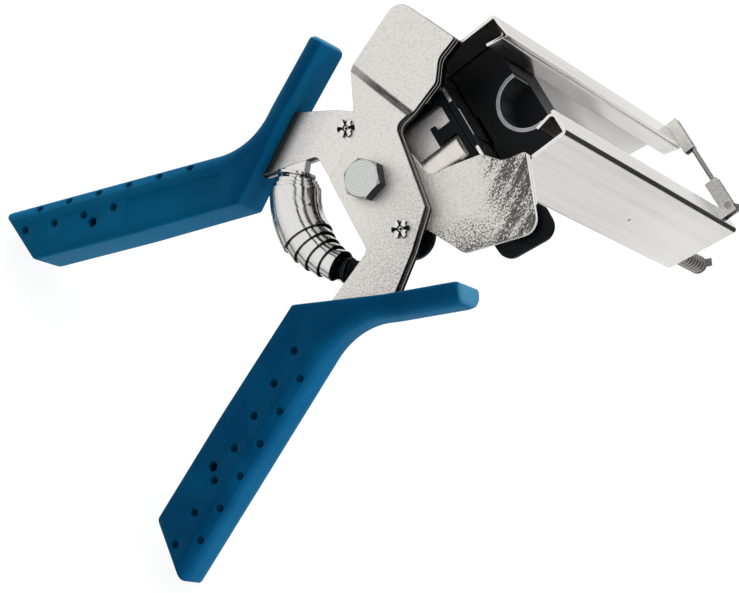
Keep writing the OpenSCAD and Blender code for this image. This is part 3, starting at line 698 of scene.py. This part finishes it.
# %% [markdown]
# ## Finish: moulded plastics
# The grips are injection-moulded in deep blue. The mould was spark-eroded, so the skin
# has a very fine, even texture, and it carries a soft broad sheen, not a mirror. The
# colour drifts a little where the melt flowed, and the edges get a painted highlight.
# The pusher's block is the same kind of plastic in black, without the wear and painted
# light of the grips.

# %% Material: moulded plastic
def plastic_finish(name, color, light, roughness, texture, shine, paler=0.0):
    material, tree, shader, tool = start_finish(name, color, 0.0, roughness)
    shader.inputs["IOR"].default_value = 1.49
    shader.inputs["Specular IOR Level"].default_value = shine
    skin = place_group(tree, pebbles, {"Vector": tool, "Grain Size": 0.28, "Wave Size": 14.0, "Wave": 0.25})
    edge = place_group(tree, edge_wear_and_highlight, {"Vector": tool, "Radius": 0.0009, "Breakup": 0.3})["Mask"]
    flow = ramp_node(tree, noise_node(tree, tool, 0.045, 2.0, distortion=0.6), 0.35, 0.7, 0.0, 0.35)
    tint = blend_node(tree, flow, toned(color), toned(light))
    tint = blend_node(tree, times(tree, skin["Grain"], 0.10), tint, toned(color, 0.6))
    if paler:
        tint = wear_and_painted_light(tree, tool, tint, color, light, paler)
    # Painted highlight along the edges.
    wire(tree, blend_node(tree, times(tree, edge, 0.55), tint, toned(light)), shader.inputs["Base Color"])
    rough = uneven_roughness(tree, skin["Grain"], roughness, 0.03, 0.05)
    wire(tree, minus(tree, rough, times(tree, edge, 0.08)), shader.inputs["Roughness"])
    relief(tree, shader, skin["Height"], texture)
    return material


blue_plastic = plastic_finish("blue plastic", (0.0002, 0.090, 0.240), (0.003, 0.190, 0.400), 0.40, 0.000035,
                              shine=0.04, paler=0.6)
blue_sheen = blue_plastic.node_tree.nodes["Principled BSDF"].inputs
blue_sheen["Sheen Weight"].default_value = 0.35
blue_sheen["Sheen Roughness"].default_value = 0.35
blue_sheen["Sheen Tint"].default_value = (0.06, 0.66, 1.0, 1)
black_plastic = plastic_finish("black plastic", (0.003, 0.0035, 0.005), (0.008, 0.009, 0.011), 0.38, 0.00002,
                               shine=0.15)
print("blue plastic:", len(blue_plastic.node_tree.nodes), "nodes")

# %% [markdown]
# ## From drafts to pieces
# A piece starts as a draft with live modifiers and ends as a plain mesh that stands in
# for a CAD part, which stays for collision. The CAD record says which body each part
# rides on, so that is not typed twice.

# %% Helpers for meshes and pieces
part_body = {part: body for body, parts in record["behaviour"]["bodies"].items() for part in parts}


def finished_mesh(name, shape):
    mesh = bpy.data.meshes.new(name)
    shape.to_mesh(mesh)
    shape.free()
    return mesh


def baked(piece):
    graph = bpy.context.evaluated_depsgraph_get()
    mesh = bpy.data.meshes.new_from_object(piece.evaluated_get(graph), depsgraph=graph)
    mesh.name = piece.name
    bpy.data.objects.remove(piece)
    return mesh


def outwards(mesh):
    shape = bmesh.new()
    shape.from_mesh(mesh)
    bmesh.ops.recalc_face_normals(shape, faces=shape.faces)
    shape.to_mesh(mesh)
    shape.free()


def smooth_below(mesh, sharp):
    for polygon in mesh.polygons:
        polygon.use_smooth = True
    mesh.set_sharp_from_angle(angle=math.radians(sharp))


def add_piece(name, mesh, part, material):
    mesh.materials.clear()
    mesh.materials.append(material)
    piece = add_object(name, mesh)
    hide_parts(part)
    return piece


# %% [markdown]
# ## Giving a CAD part its edges
# A CAD part has knife-sharp edges and loose triangles. Real sheet and castings always
# have a small radius, and that radius is what catches the light and draws the part's
# outline. The part's mesh is copied, its doubles are merged and its flat faces joined,
# and a Bevel modifier then rounds what is still sharp. Weighted normals keep the flats
# flat.

# %% Soften a part
sheet_sharp, sheet_segments = 26, 2
same_place, same_plane = 2e-6, math.radians(0.6)


def add_bevel(draft, label, width, segments, sharp):
    bevel = draft.modifiers.new(label, "BEVEL")
    bevel.width = width
    bevel.segments = segments
    bevel.limit_method = "ANGLE"
    bevel.angle_limit = math.radians(sharp)
    return bevel


def soften(part, material, width):
    shape = bmesh.new()
    shape.from_mesh(frame["nodes"][part].data)
    bmesh.ops.remove_doubles(shape, verts=shape.verts, dist=same_place)
    bmesh.ops.dissolve_limit(shape, angle_limit=same_plane, verts=shape.verts, edges=shape.edges)
    bmesh.ops.dissolve_degenerate(shape, edges=shape.edges, dist=same_place / 2)
    for face in shape.faces:
        face.smooth = True
    mesh = frame["nodes"][part].data.copy()
    shape.to_mesh(mesh)
    shape.free()
    draft = add_object(part + "_softened", mesh)
    bevel = add_bevel(draft, "edge radius", width / 1000, sheet_segments, sheet_sharp)
    bevel.miter_outer = "MITER_ARC"
    weights = draft.modifiers.new("flat flats", "WEIGHTED_NORMAL")
    weights.keep_sharp = True
    piece = add_piece(part + "_softened", baked(draft), part, material)
    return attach(piece, part_body[part])


print("edges sharper than", sheet_sharp, "degrees are rounded")

# %% [markdown]
# ## Lever sheets and jaw plates
# Each lever is two blanked sheets riveted together, with a jaw plate behind its head.
# Blanking leaves a tiny rolled edge on one side, so a quarter of a millimetre is
# enough. More would make the thin sheets look like soap.

# %% Soften the sheets
for part, material in (("lower_lever_front_plate", crease_shaded_nickel), ("lower_lever_rear_plate", nickel),
                       ("upper_lever_front_plate", grip_shaded_nickel), ("upper_jaw", nickel)):
    soften(part, material, 0.28)
for part in ("upper_lever_rear_plate", "lower_jaw"):
    soften(part, shaded_head_nickel, 0.3)

# %% [markdown]
# ## Grips: the outline
# The grips are thick mouldings, each a straight bar with a slim guard in front of the
# knuckles. A grip is drawn again here from its own sizes, because a CAD part's mesh
# no longer knows which of its edges face the palm. The outline lies in the sheets'
# plane: its corners are named where an edge ends, and rounded by an arc elsewhere.

# %% The outline of a grip
elbow_angle = math.radians(126.9)
bar_length, bar_height, bar_swell = 111.6, 25.3, 1.3
guard_length, guard_height, tip_lift = 80.0, 9.6, 2.0
butt_slope = math.tan(math.radians(30))
grip_width = 20.8


def bar_point(along, out):
    """A point of the bar, by its way along from the elbow and its way out to the palm."""
    ahead_way = Vector((math.cos(elbow_angle), -math.sin(elbow_angle)))
    out_way = Vector((math.sin(elbow_angle), math.cos(elbow_angle)))
    return along * ahead_way + out * out_way


def on_tool(point, side):
    """Carry a point of a grip into the tool's x and y, on the lower side or mirrored."""
    flat = elbow + Matrix.Rotation(-guard_tilt, 2) @ Vector(point[:2])
    return Vector((flat.x, side * flat.y))


def arc_corner(before, corner, after, radius):
    to_before, to_after = (before - corner).normalized(), (after - corner).normalized()
    half = to_before.angle(to_after) / 2
    middle = corner + (to_before + to_after).normalized() * radius / math.sin(half)
    start = corner + to_before * radius / math.tan(half) - middle
    end = corner + to_after * radius / math.tan(half) - middle
    steps = max(2, math.ceil(math.degrees(math.pi - 2 * half) / 4))
    turn = start.angle_signed(end)
    return [middle + Matrix.Rotation(-turn * i / steps, 2) @ start for i in range(steps + 1)]


tip_bend = 0.55 * guard_length
blend_along = (guard_height + bar_height * math.cos(elbow_angle)) / math.sin(elbow_angle)
corner_list = [((0, 0), 0, "elbow"), ((tip_bend, 0), 60, None), ((guard_length, tip_lift), 0, "tip in"),
               ((guard_length, tip_lift - guard_height), 0, "tip out"), ((tip_bend, -guard_height), 60, None),
               (bar_point(blend_along, bar_height), 33, None),
               (bar_point(bar_length + bar_height * butt_slope, bar_height), 0, "butt out"),
               (bar_point(bar_length - bar_swell * butt_slope, -bar_swell), 0, "butt in"),
               (bar_point(bar_length / 2, -bar_swell), 300, None)]
grip_outline, named_corner = [], {}
for i, (corner, radius, label) in enumerate(corner_list):
    before, after = Vector(corner_list[i - 1][0]), Vector(corner_list[(i + 1) % len(corner_list)][0])
    if label:
        named_corner[len(grip_outline)] = label
        grip_outline.append(Vector(corner))
    else:
        grip_outline += arc_corner(before, Vector(corner), after, radius)
print("grip outline:", len(grip_outline), "points, corners", named_corner)

# %% [markdown]
# ## Grips: a radius for every edge
# Towards the palm the edges of a grip are nearly half round, and towards the levers
# they are crisp. One bevel width can't give both. So the outline is extruded, each of
# its edges is given a weight, and one Bevel modifier rounds them all by those weights.

# %% A grip with its own radius on every edge
palm_radius = 7.0
rim_weight = {"elbow": 0.2, "tip in": 0.5, "tip out": 1.0, "butt out": 0.34, "butt in": 0.22}
corner_weight = {"elbow": 0.14, "tip in": 0.40, "tip out": 0.52, "butt out": 0.5, "butt in": 0.3}


def grip_blank(name, side):
    shape = bmesh.new()
    weight = shape.edges.layers.float.new("bevel_weight_edge")
    rings = []
    for face in (-1, 1):
        depth = pivot_depth + face * grip_width / 2
        rings.append([shape.verts.new((*on_tool(point, side), depth)) for point in grip_outline])
    count, rim = len(grip_outline), rim_weight["elbow"]
    for ring in rings:
        shape.faces.new(ring)
    for i in range(count):
        j = (i + 1) % count
        shape.faces.new([rings[0][i], rings[0][j], rings[1][j], rings[1][i]])
    shape.edges.ensure_lookup_table()
    for i in range(count):
        rim = rim_weight.get(named_corner.get(i), rim)
        for ring in rings:
            shape.edges.get((ring[i], ring[(i + 1) % count]))[weight] = rim
        if i in named_corner:
            shape.edges.get((rings[0][i], rings[1][i]))[weight] = corner_weight[named_corner[i]]
    bmesh.ops.recalc_face_normals(shape, faces=shape.faces)
    blank = add_object(name, finished_mesh(name, shape))
    bevel = blank.modifiers.new("own radii", "BEVEL")
    bevel.width = palm_radius
    bevel.segments = 7
    bevel.limit_method = "WEIGHT"
    bevel.use_clamp_overlap = False
    return blank


print("palm edges:", palm_radius, "mm, elbow edges:", round(palm_radius * rim_weight["elbow"], 1), "mm")

# %% [markdown]
# ## Grips: what is cut out
# Two rows of dimples, a hanging hole, a bare sunk panel on one face and the slot for
# the lever sheets are hollows. All of them are put into one mesh of cutters, so that a
# single Boolean is enough. A dimple is cut by a small ball whose middle stands a little
# above the surface, and the outer row follows the round of the palm edge.

# %% What is cut out of a grip
dimple_ball, dimple_rim = 2.10, 2.05
dimple_start, dimple_pitch, lower_row, upper_row = 15.3, 16.4, 13.2, 22.0
panel_dimples = 3                        # dimples of the lower row that make room for the panel
panel_corners, panel_depth = ((9, 3.4), (60, 3.4), (58, 16), (7, 16)), 0.5
hang_along, hang_out, hang_radius, hang_steps = 76.5, 9.0, 2.4, 36
sheet, gap = 2.2, 0.1


def prism(shape, outline, low, high):
    floor_ring = [shape.verts.new((*point, low)) for point in outline]
    roof_ring = [shape.verts.new((*point, high)) for point in outline]
    faces = [shape.faces.new(floor_ring), shape.faces.new(roof_ring)]
    for i in range(len(outline)):
        j = (i + 1) % len(outline)
        faces.append(shape.faces.new([floor_ring[i], floor_ring[j], roof_ring[j], roof_ring[i]]))
    bmesh.ops.recalc_face_normals(shape, faces=faces)


def dimple_centres(side, panel_side):
    sink = math.sqrt(dimple_ball ** 2 - dimple_rim ** 2)
    flat_edge, lift = bar_height - palm_radius, palm_radius + sink
    centres = []
    for face in (-1, 1):
        first = panel_dimples if face == panel_side else 0
        rows = [(dimple_start + dimple_pitch * i, lower_row) for i in range(first, 7)]
        rows += [(dimple_start + dimple_pitch * (i + 0.5), upper_row) for i in range(6)]
        for along, out in rows:
            lean = math.asin(max(0.0, out - flat_edge) / palm_radius)
            centre = on_tool(bar_point(along, min(out, flat_edge) + lift * math.sin(lean)), side)
            depth = pivot_depth + face * (grip_width / 2 - palm_radius + lift * math.cos(lean))
            centres.append(Vector((*centre, depth)))
    return centres


def grip_cutters(name, side, first_layer, panel_side, dimples):
    shape = bmesh.new()
    for centre in dimples:
        bmesh.ops.create_uvsphere(shape, u_segments=28, v_segments=16, radius=dimple_ball,
                                  matrix=Matrix.Translation(centre))
    hang = on_tool(bar_point(hang_along, hang_out), side)
    turns = [math.tau * i / hang_steps for i in range(hang_steps)]
    prism(shape, [hang + Vector((math.cos(a), math.sin(a))) * hang_radius for a in turns],
          pivot_depth - grip_width, pivot_depth + grip_width)
    face_z = pivot_depth + panel_side * grip_width / 2
    prism(shape, [on_tool(bar_point(*corner), side) for corner in panel_corners],
          face_z - panel_depth, face_z + panel_depth)
    top = -gap - first_layer * (sheet + gap) + gap / 2
    tang = [(44, -4.5), (22, -9), bar_point(60, 18), bar_point(60, 8), (5, -8), (13, -3)]
    waist = [Vector((-17.0, side * -22.6)), Vector((5.4, side * -36.5))]
    prism(shape, [on_tool(point, side) for point in tang] + waist, top - 3 * (sheet + gap), top)
    return add_object(name, finished_mesh(name, shape))


print("dimples:", len(dimple_centres(1, -1)), "on a grip,", round(2 * dimple_rim, 1), "mm wide")

# %% [markdown]
# ## Grips: moulding them
# The blank is rounded, the cutters are taken away from it, and a second small bevel
# softens the rims they leave. The faces that lie on a dimple's ball are then marked,
# where painted shade darkens the plastic.

# %% Mould the grips
def mark_hollows(mesh, spots):
    hollow = mesh.attributes.new("hollow", "FLOAT", "FACE")
    slack = 0.02
    reach = (dimple_ball + slack) / 1000
    for polygon in mesh.polygons:
        rim = [mesh.vertices[i].co for i in polygon.vertices]
        in_dimple = any(all((v - spot).length < reach for v in rim) for spot in spots)
        hollow.data[polygon.index].value = float(in_dimple)


for part, side, first_layer, panel_side in (("lower_grip", 1, 0, -1), ("upper_grip", -1, 1, 1)):
    blank = grip_blank(part + "_blank", side)
    dimples = dimple_centres(side, panel_side)
    cutters = grip_cutters(part + "_cutters", side, first_layer, panel_side, dimples)
    cut = blank.modifiers.new("cut out", "BOOLEAN")
    cut.operation = "DIFFERENCE"
    cut.solver = "EXACT"
    cut.object = cutters
    add_bevel(blank, "soft rims", 0.3, 2, 38)
    bpy.context.view_layer.update()
    mesh = baked(blank)
    bpy.data.objects.remove(cutters)
    mesh.transform(to_room)
    outwards(mesh)
    smooth_below(mesh, 42)
    mark_hollows(mesh, [to_room @ centre for centre in dimples])
    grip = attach(add_piece(part + "_moulded", mesh, part, blue_plastic), part_body[part])
    print(grip.name, len(grip.data.polygons), "faces")

# %% [markdown]
# ## Magazine, pusher and bail
# The folded magazine gets a fine edge, because its ends are cut clean. The small clips
# and pins of the bail are softened less than their own thickness, or the bevel would
# eat the part away.

# %% Soften the magazine and what rides in it
for part, material, width in (
        ("magazine_channel", polished, 0.2), ("magazine_bracket", nickel, 0.3),
        ("bail_hinge_clip", nickel, 0.12), ("bail_catch_clip", nickel, 0.12),
        ("end_bail", grey_strip, 0.1), ("bail_pin", plain_zinc, 0.15),
        ("guide_plate", black_steel, 0.35), ("ribbon_hook", black_steel, 0.08),
        ("post_bracket", black_steel, 0.2), ("tail_post", plain_zinc, 0.2),
        ("pusher_block", black_plastic, 0.6), ("pusher_sleeve", dull_strip, 0.12)):
    soften(part, material, width)

# %% [markdown]
# ## The rib of the bracket
# The strap that holds the magazine to the pivot is stiffened by a pressed rib. It shows
# in the guide plate's window, cut off square at the nose end. It is half of a stretched
# cylinder: an outline swept along x, with its two ends closed.

# %% Press the rib
rib_middle, rib_half, rib_low, rib_rise, rib_steps = -7.9, 6.3, -14.2, 5.1, 28
rib_ends = (17.6, 40.3)
rib_shape = bmesh.new()
rib_section = [(rib_middle + rib_half * math.cos(a), rib_low + rib_rise * math.sin(a))
               for a in (math.pi * i / rib_steps for i in range(rib_steps + 1))]
inner_ring, nose_ring = [[rib_shape.verts.new((x, y, z)) for y, z in rib_section] for x in rib_ends]
for i in range(rib_steps):
    face = rib_shape.faces.new([inner_ring[i], inner_ring[i + 1], nose_ring[i + 1], nose_ring[i]])
    face.smooth = True
rib_shape.faces.new([inner_ring[-1], inner_ring[0], nose_ring[0], nose_ring[-1]])
for ring in (inner_ring, nose_ring):
    rib_shape.faces.new(ring)
rib = add_object("rib_draft", finished_mesh("bracket_rib", rib_shape))
add_bevel(rib, "pressed edge", 0.5, 3, 50)
mesh = baked(rib)
mesh.transform(to_room)
outwards(mesh)
mesh.materials.append(rib_steel)
rib = add_object("bracket_rib", mesh)
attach(rib, "magazine")
print("rib:", len(mesh.polygons), "faces")

# %% [markdown]
# ## Pivot and rivets
# The pivot bolt has a chamfered hexagon head, and behind it come its washer, spacer,
# bush and nut. These and the rivets are all turned or punched parts, so they get the
# same softening as the sheets, with a width that suits their size.

# %% Soften the fasteners
for part, material, width in (
        ("pivot_bolt", turned_zinc, 0.25), ("pivot_nut", plain_zinc, 0.25),
        ("pivot_washer", plain_zinc, 0.2), ("pivot_spacer", plain_zinc, 0.15),
        ("pivot_bush", plain_zinc, 0.1), ("bracket_screws", plain_zinc, 0.15),
        ("lower_lever_rivet", staked_zinc, 0.15), ("upper_lever_rivet", staked_zinc, 0.15),
        ("lower_spring_seat", black_steel, 0.2), ("upper_spring_seat", strip_steel, 0.2),
        ("lower_tang_spacer", black_steel, 0.1), ("upper_tang_spacer", black_steel, 0.1)):
    soften(part, material, width)

# %% [markdown]
# ## A tree that winds strip and wire
# Three parts are wound: the volute return spring, the coil on the tail post and the
# ribbon's reel. Each is one section drawn along a spiral, so one Geometry Nodes tree
# makes them all. Its Spiral curve takes turns, radii and height, a rounded rectangle
# is drawn along it, and a last step bends the axis round the pivot where that is asked
# for. The tree's named inputs are the sizes of one spring.

# %% Build the winding tree
winding = bpy.data.node_groups.new("wind a strip", "GeometryNodeTree")
for label, kind in (("Turns", FLOAT), ("Start Radius", FLOAT), ("End Radius", FLOAT), ("Height", FLOAT),
                    ("Strip Thickness", FLOAT), ("Strip Width", FLOAT), ("Corner", FLOAT),
                    ("Start Angle", FLOAT), ("Bend Radius", FLOAT), ("Steps", "NodeSocketInt"),
                    ("Cuts", "NodeSocketInt"), ("Finish", "NodeSocketMaterial")):
    winding.interface.new_socket(label, in_out="INPUT", socket_type=kind)
winding.interface.new_socket("Geometry", in_out="OUTPUT", socket_type="NodeSocketGeometry")
asked = winding.nodes.new("NodeGroupInput").outputs
spiral = add_node(winding, "GeometryNodeCurveSpiral", {
    "Resolution": asked["Steps"], "Rotations": asked["Turns"], "Start Radius": asked["Start Radius"],
    "End Radius": asked["End Radius"], "Height": asked["Height"]})
upright = add_node(winding, "GeometryNodeSetCurveNormal", {"Curve": spiral.outputs[0]}, mode="Z_UP")
section = add_node(winding, "GeometryNodeCurvePrimitiveQuadrilateral", {
    "Width": asked["Strip Thickness"], "Height": asked["Strip Width"]})
corners = add_node(winding, "GeometryNodeFilletCurve", {
    "Curve": section.outputs[0], "Radius": asked["Corner"], "Count": 3}, mode="POLY")
divided = add_node(winding, "GeometryNodeSubdivideCurve", {
    "Curve": corners.outputs[0], "Cuts": asked["Cuts"]})
strip = add_node(winding, "GeometryNodeCurveToMesh", {
    "Curve": upright.outputs[0], "Profile Curve": divided.outputs[0], "Fill Caps": True})
where = split_node(winding, add_node(winding, "GeometryNodeInputPosition").outputs[0])
reach = plus(winding, asked["Bend Radius"], where[0])
turn = plus(winding, asked["Start Angle"], divide(winding, where[2], asked["Bend Radius"]))
bent = join_node(winding, times(winding, reach, math_node(winding, "COSINE", turn)),
                 times(winding, reach, math_node(winding, "SINE", turn)), times(winding, where[1], -1.0))
bends = add_node(winding, "FunctionNodeCompare", {0: asked["Bend Radius"], 1: 0.0}, operation="GREATER_THAN")
moved = add_node(winding, "GeometryNodeSetPosition", {
    "Geometry": strip.outputs[0], "Selection": bends.outputs[0], "Position": bent})
real = add_node(winding, "GeometryNodeRealizeInstances", {"Geometry": moved.outputs[0]})
coated = add_node(winding, "GeometryNodeSetMaterial", {
    "Geometry": real.outputs[0], "Material": asked["Finish"]})
wire(winding, coated.outputs[0], winding.nodes.new("NodeGroupOutput").inputs[0])
socket_of = {item.name: item.identifier for item in winding.interface.items_tree if item.in_out == "INPUT"}
print("winding tree:", len(winding.nodes), "nodes,", len(socket_of), "inputs")

# %% [markdown]
# ## Winding one spring
# A modifier's inputs are set by the sockets' identifiers, once for each spring and
# before the draft is first evaluated. What the tree gives is then made a plain mesh,
# smooth everywhere but at the strip's own corners.

# %% Wind one spring
def wind(name, material, **sizes):
    """Sizes are named as the tree's inputs are, in small letters with underscores."""
    draft = add_object(name, bpy.data.meshes.new(name))
    modifier = draft.modifiers.new("winding", "NODES")
    modifier.node_group = winding
    modifier[socket_of["Finish"]] = material
    for label, value in sizes.items():
        modifier[socket_of[label.replace("_", " ").title()]] = value
    draft.update_tag()
    bpy.context.view_layer.update()
    mesh = baked(draft)
    smooth_below(mesh, 40)
    return mesh


print("inputs of a winding:", ", ".join(socket_of))

# %% [markdown]
# ## The volute return spring
# A volute spring is one wide strip wound into a cone: each turn tucks into the next
# larger one. Two cones, wide end to wide end, sit on an arc about the pivot and push
# the levers apart. Each half is wound straight and bent by the tree. When the handles
# close, the arc gets shorter.

# %% Wind the two halves of the volute
arc, cone_radius = 37.9, 11.3
volute_thickness, volute_corner = 0.72, 0.25
narrow_end = {"lower": 221.4, "upper": 138.6}
volute_mesh = {}
for side, turns, small, strip_width, first in (("lower", 5.0, 6.0, 18.0, 168.2),
                                               ("upper", 3.2, 8.2, 13.0, 158.0)):
    away = 1 if side == "lower" else -1
    half_width = math.degrees(strip_width / 2 / arc)
    length = math.radians(away * (narrow_end[side] - first) - half_width) * arc
    mesh = wind("volute_" + side, volute_steel, turns=turns, start_radius=cone_radius, end_radius=small,
                height=away * length, strip_thickness=volute_thickness, strip_width=strip_width,
                corner=volute_corner, start_angle=math.radians(first), bend_radius=arc, steps=44, cuts=5)
    mesh.transform(to_room @ Matrix.Translation((0, 0, pivot_depth)))
    outwards(mesh)
    volute_mesh[side] = mesh
    print("volute,", side, "half:", len(mesh.polygons), "faces over", round(length, 1), "mm")


for side, mesh in volute_mesh.items():
    half = add_piece("volute_" + side, mesh, "return_spring", volute_steel)
    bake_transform(half)

# %% [markdown]
# ## The coil on the tail post
# A grey wire coil sits on a post past the far end of the web. It is the same tree with
# a square section whose corners are filleted until it is round, and without the bend.

# %% Wind the tail coil
magazine_web, magazine_half, far_end = 45.0, 32.5, -217.9
post_x, post_y, post_reach, cap_thickness = magazine_web + 6.5, 6.4 - magazine_half, 23, 0.9
coil_low, coil_high = far_end - post_reach + cap_thickness, far_end + 15.5
coil_radius, wire_radius = 3.9, 0.75
mesh = wind("tail_coil", grey_strip, turns=9.6, start_radius=coil_radius, end_radius=coil_radius,
            height=coil_high - coil_low - 2 * wire_radius, strip_thickness=2 * wire_radius,
            strip_width=2 * wire_radius, corner=wire_radius * 0.98, steps=40, cuts=1)
mesh.transform(to_room @ Matrix.Translation((post_x, post_y, coil_low + wire_radius)))
outwards(mesh)
coil = add_piece("tail_coil", mesh, "tail_spring", grey_strip)
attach(coil, "magazine")
print("tail coil:", len(mesh.polygons), "faces")

# %% [markdown]
# ## The ribbon's reel
# A ribbon of spring steel draws the pusher to the mouth. What isn't stretched along the
# web is rolled up inside the pusher, as a flat spiral of many turns. The tree winds it
# without a height, and a quarter turn lays its axle across the magazine.

# %% Wind the reel
web_thickness, slide_gap = 1.4, 0.5
mouth, pusher_set, pusher_length = -11.9, 18, 32
reel_radius, ribbon_width = 6.4, 14.0
reel_x = magazine_web + web_thickness + slide_gap + reel_radius + 0.4
reel_z = mouth - pusher_set - pusher_length + reel_radius + 2
mesh = wind("ribbon_roll", strip_steel, turns=9.5, start_radius=3.1, end_radius=reel_radius - 0.15,
            height=0.0, strip_thickness=0.28, strip_width=ribbon_width, corner=0.1, steps=36, cuts=1)
mesh.transform(to_room @ Matrix.Translation((reel_x, 0, reel_z)) @ Matrix.Rotation(math.radians(90), 4, "X"))
outwards(mesh)
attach(add_piece("ribbon_roll", mesh, "ribbon_reel", strip_steel), part_body["ribbon_reel"])
print("ribbon roll:", len(mesh.polygons), "faces")

# %% [markdown]
# ## The ribbon itself
# The ribbon's loose end hooks over the web at the mouth. Its free length grows as the
# pusher goes back. It is a plain strip from the mouth down to the reel, with many cuts
# along its length.

# %% Lay the ribbon
ribbon_x = reel_x - reel_radius - 0.3
ribbon_top, ribbon_low = mouth, reel_z
ribbon_offset, ribbon_thickness = 0.11, 0.26
strip_shape = bmesh.new()
bmesh.ops.create_cube(strip_shape, size=1.0)
long_edges = [e for e in strip_shape.edges if abs((e.verts[0].co - e.verts[1].co).z) > 0.5]
bmesh.ops.subdivide_edges(strip_shape, edges=long_edges, cuts=40, use_grid_fill=True)
for vert in strip_shape.verts:
    x, y, z = vert.co
    vert.co = place(ribbon_x + ribbon_offset + x * ribbon_thickness, y * ribbon_width,
                    ribbon_low + (z + 0.5) * (ribbon_top - ribbon_low))
mesh = finished_mesh("ribbon", strip_shape)
ribbon = add_piece("ribbon", mesh, "feed_ribbon", strip_steel)
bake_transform(ribbon)
print("ribbon:", len(mesh.polygons), "faces,", round(ribbon_top - ribbon_low, 1), "mm free")

# %% [markdown]
# ## Floor
# The tool stands on a plain white floor. To a camera ray the floor is mostly its own
# light, so it reads as white paper, but a fifth of it stays a matt surface that keeps
# the tool's soft shadow. Mirror rays pass through it and see the lower half of the
# studio tent, which is nearly as white as the paper and has the tent's dark gaps.

# %% White floor
def mix_shaders(tree, share, a, b):
    return add_node(tree, "ShaderNodeMixShader", {0: share, 1: a.outputs[0], 2: b.outputs[0]})


own_light = 0.80                         # the glowing share of the floor, to a camera ray
floor_shape = bmesh.new()
bmesh.ops.create_grid(floor_shape, x_segments=1, y_segments=1, size=4.0)
floor = add_object("floor", finished_mesh("floor", floor_shape))
floor.location.z = -0.0002
paper = bpy.data.materials.new("white paper floor")
paper.use_nodes = True
tree = paper.node_tree
tree.nodes.remove(tree.nodes["Principled BSDF"])
matt = add_node(tree, "ShaderNodeBsdfDiffuse", {"Color": (0.86, 0.86, 0.86, 1)})
glow = add_node(tree, "ShaderNodeEmission", {"Color": (1, 1, 1, 1), "Strength": 1.14})
clear = add_node(tree, "ShaderNodeBsdfTransparent")
rays = add_node(tree, "ShaderNodeLightPath").outputs
lit = mix_shaders(tree, times(tree, rays["Is Camera Ray"], own_light), matt, glow)
mirrored = mix_shaders(tree, rays["Is Glossy Ray"], lit, clear)
wire(tree, mirrored.outputs[0], tree.nodes["Material Output"].inputs["Surface"])
floor.data.materials.append(paper)
floor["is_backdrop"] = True
print("floor at z =", round(floor.location.z * 1000, 2), "mm")

# %% [markdown]
# ## Studio tent
# Bright metal has no colour of its own: it shows the room. In a studio it stands in a
# white tent with a few dark gaps, so that its edges are drawn in black. The world is
# that tent. The camera sees plain white, matt surfaces get most of their light from the
# sides and from behind the sheets, and only mirror rays see the gaps. One gap is round
# and lies behind the tool, and three are strips that run the height of the tent.

# %% White tent with dark gaps
world = bpy.data.worlds.new("studio tent")
bpy.context.scene.world = world
world.use_nodes = True
tree = world.node_tree
tree.nodes.clear()
look = add_node(tree, "ShaderNodeTexCoord").outputs["Generated"]


def along_look(direction):
    return dot_node(tree, look, direction.normalized())


def round_gap(direction, inner, outer):
    edge, core = math.cos(math.radians(outer)), math.cos(math.radians(inner))
    return ramp_node(tree, along_look(tool_turn @ Vector(direction)), edge, core)


def strip_gap(turn, inner, outer):
    square = Vector((math.cos(math.radians(turn)), 0, -math.sin(math.radians(turn))))
    return ramp_node(tree, math_node(tree, "ABSOLUTE", along_look(tool_turn @ square)), outer, inner)


def grey_background(value):
    grey = add_node(tree, "ShaderNodeCombineColor", {0: value, 1: value, 2: value}).outputs[0]
    return add_node(tree, "ShaderNodeBackground", {"Color": grey, "Strength": 1.0})


gap_depth = 0.97
facing = along_look(across)
gaps = round_gap((0.44, -0.255, -0.86), 29, 37)
for turn, inner, outer in ((31, 0.05, 0.09), (63, 0.09, 0.15), (101, 0.04, 0.08)):
    gaps = larger(tree, gaps, strip_gap(turn, inner, outer))
back_sky = ramp_node(tree, facing, -0.6, 0.0, 0.86, 0.62)
front_sky = ramp_node(tree, facing, 0.05, 0.62, 0.0, 0.38)
open_share = minus(tree, 1.0, times(tree, gaps, gap_depth))
mirror = grey_background(times(tree, plus(tree, back_sky, front_sky), open_share))
light = grey_background(ramp_node(tree, facing, 0.0, 0.75, 1.65, 0.08))
shown = grey_background(1.0)
rays = add_node(tree, "ShaderNodeLightPath").outputs
lit = mix_shaders(tree, rays["Is Camera Ray"], light, shown)
both = mix_shaders(tree, rays["Is Glossy Ray"], lit, mirror)
wire(tree, both.outputs[0], tree.nodes.new("ShaderNodeOutputWorld").inputs["Surface"])
print("tent:", len(tree.nodes), "nodes")

# %% [markdown]
# ## One soft lamp
# The tent alone lights every side alike. A single large softbox, high on the side of
# the upper handle, adds shape to the matt parts. It is kept out of the reflections, so
# that the metal still shows only the tent. The view transform is Standard, so a colour
# comes out about as it is written.

# %% Softbox
key = add_object("key softbox", bpy.data.lights.new("key softbox", "AREA"))
key.data.shape = "RECTANGLE"
key.data.size = 1.2
key.data.size_y = 0.8
key.data.energy = 7.0
key.location = (0.55, 0.95, 0.85)
lit_spot = Vector((0, 0, 0.08))
key.rotation_mode = "QUATERNION"
key.rotation_quaternion = (key.location - lit_spot).to_track_quat("Z", "Y")
key.visible_glossy = False
bpy.context.scene.view_settings.view_transform = "Standard"

# %% [markdown]
# ## Sizes
# The sizes of the softened copies are printed beside those of the CAD model, which they
# must not outgrow.

# %% Print the sizes
visual_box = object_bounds()
for label, box in (("CAD", cad_box), ("visual", visual_box)):
    print(label, "size in mm:", [round((high - low) * 1000, 1) for low, high in zip(*box)])
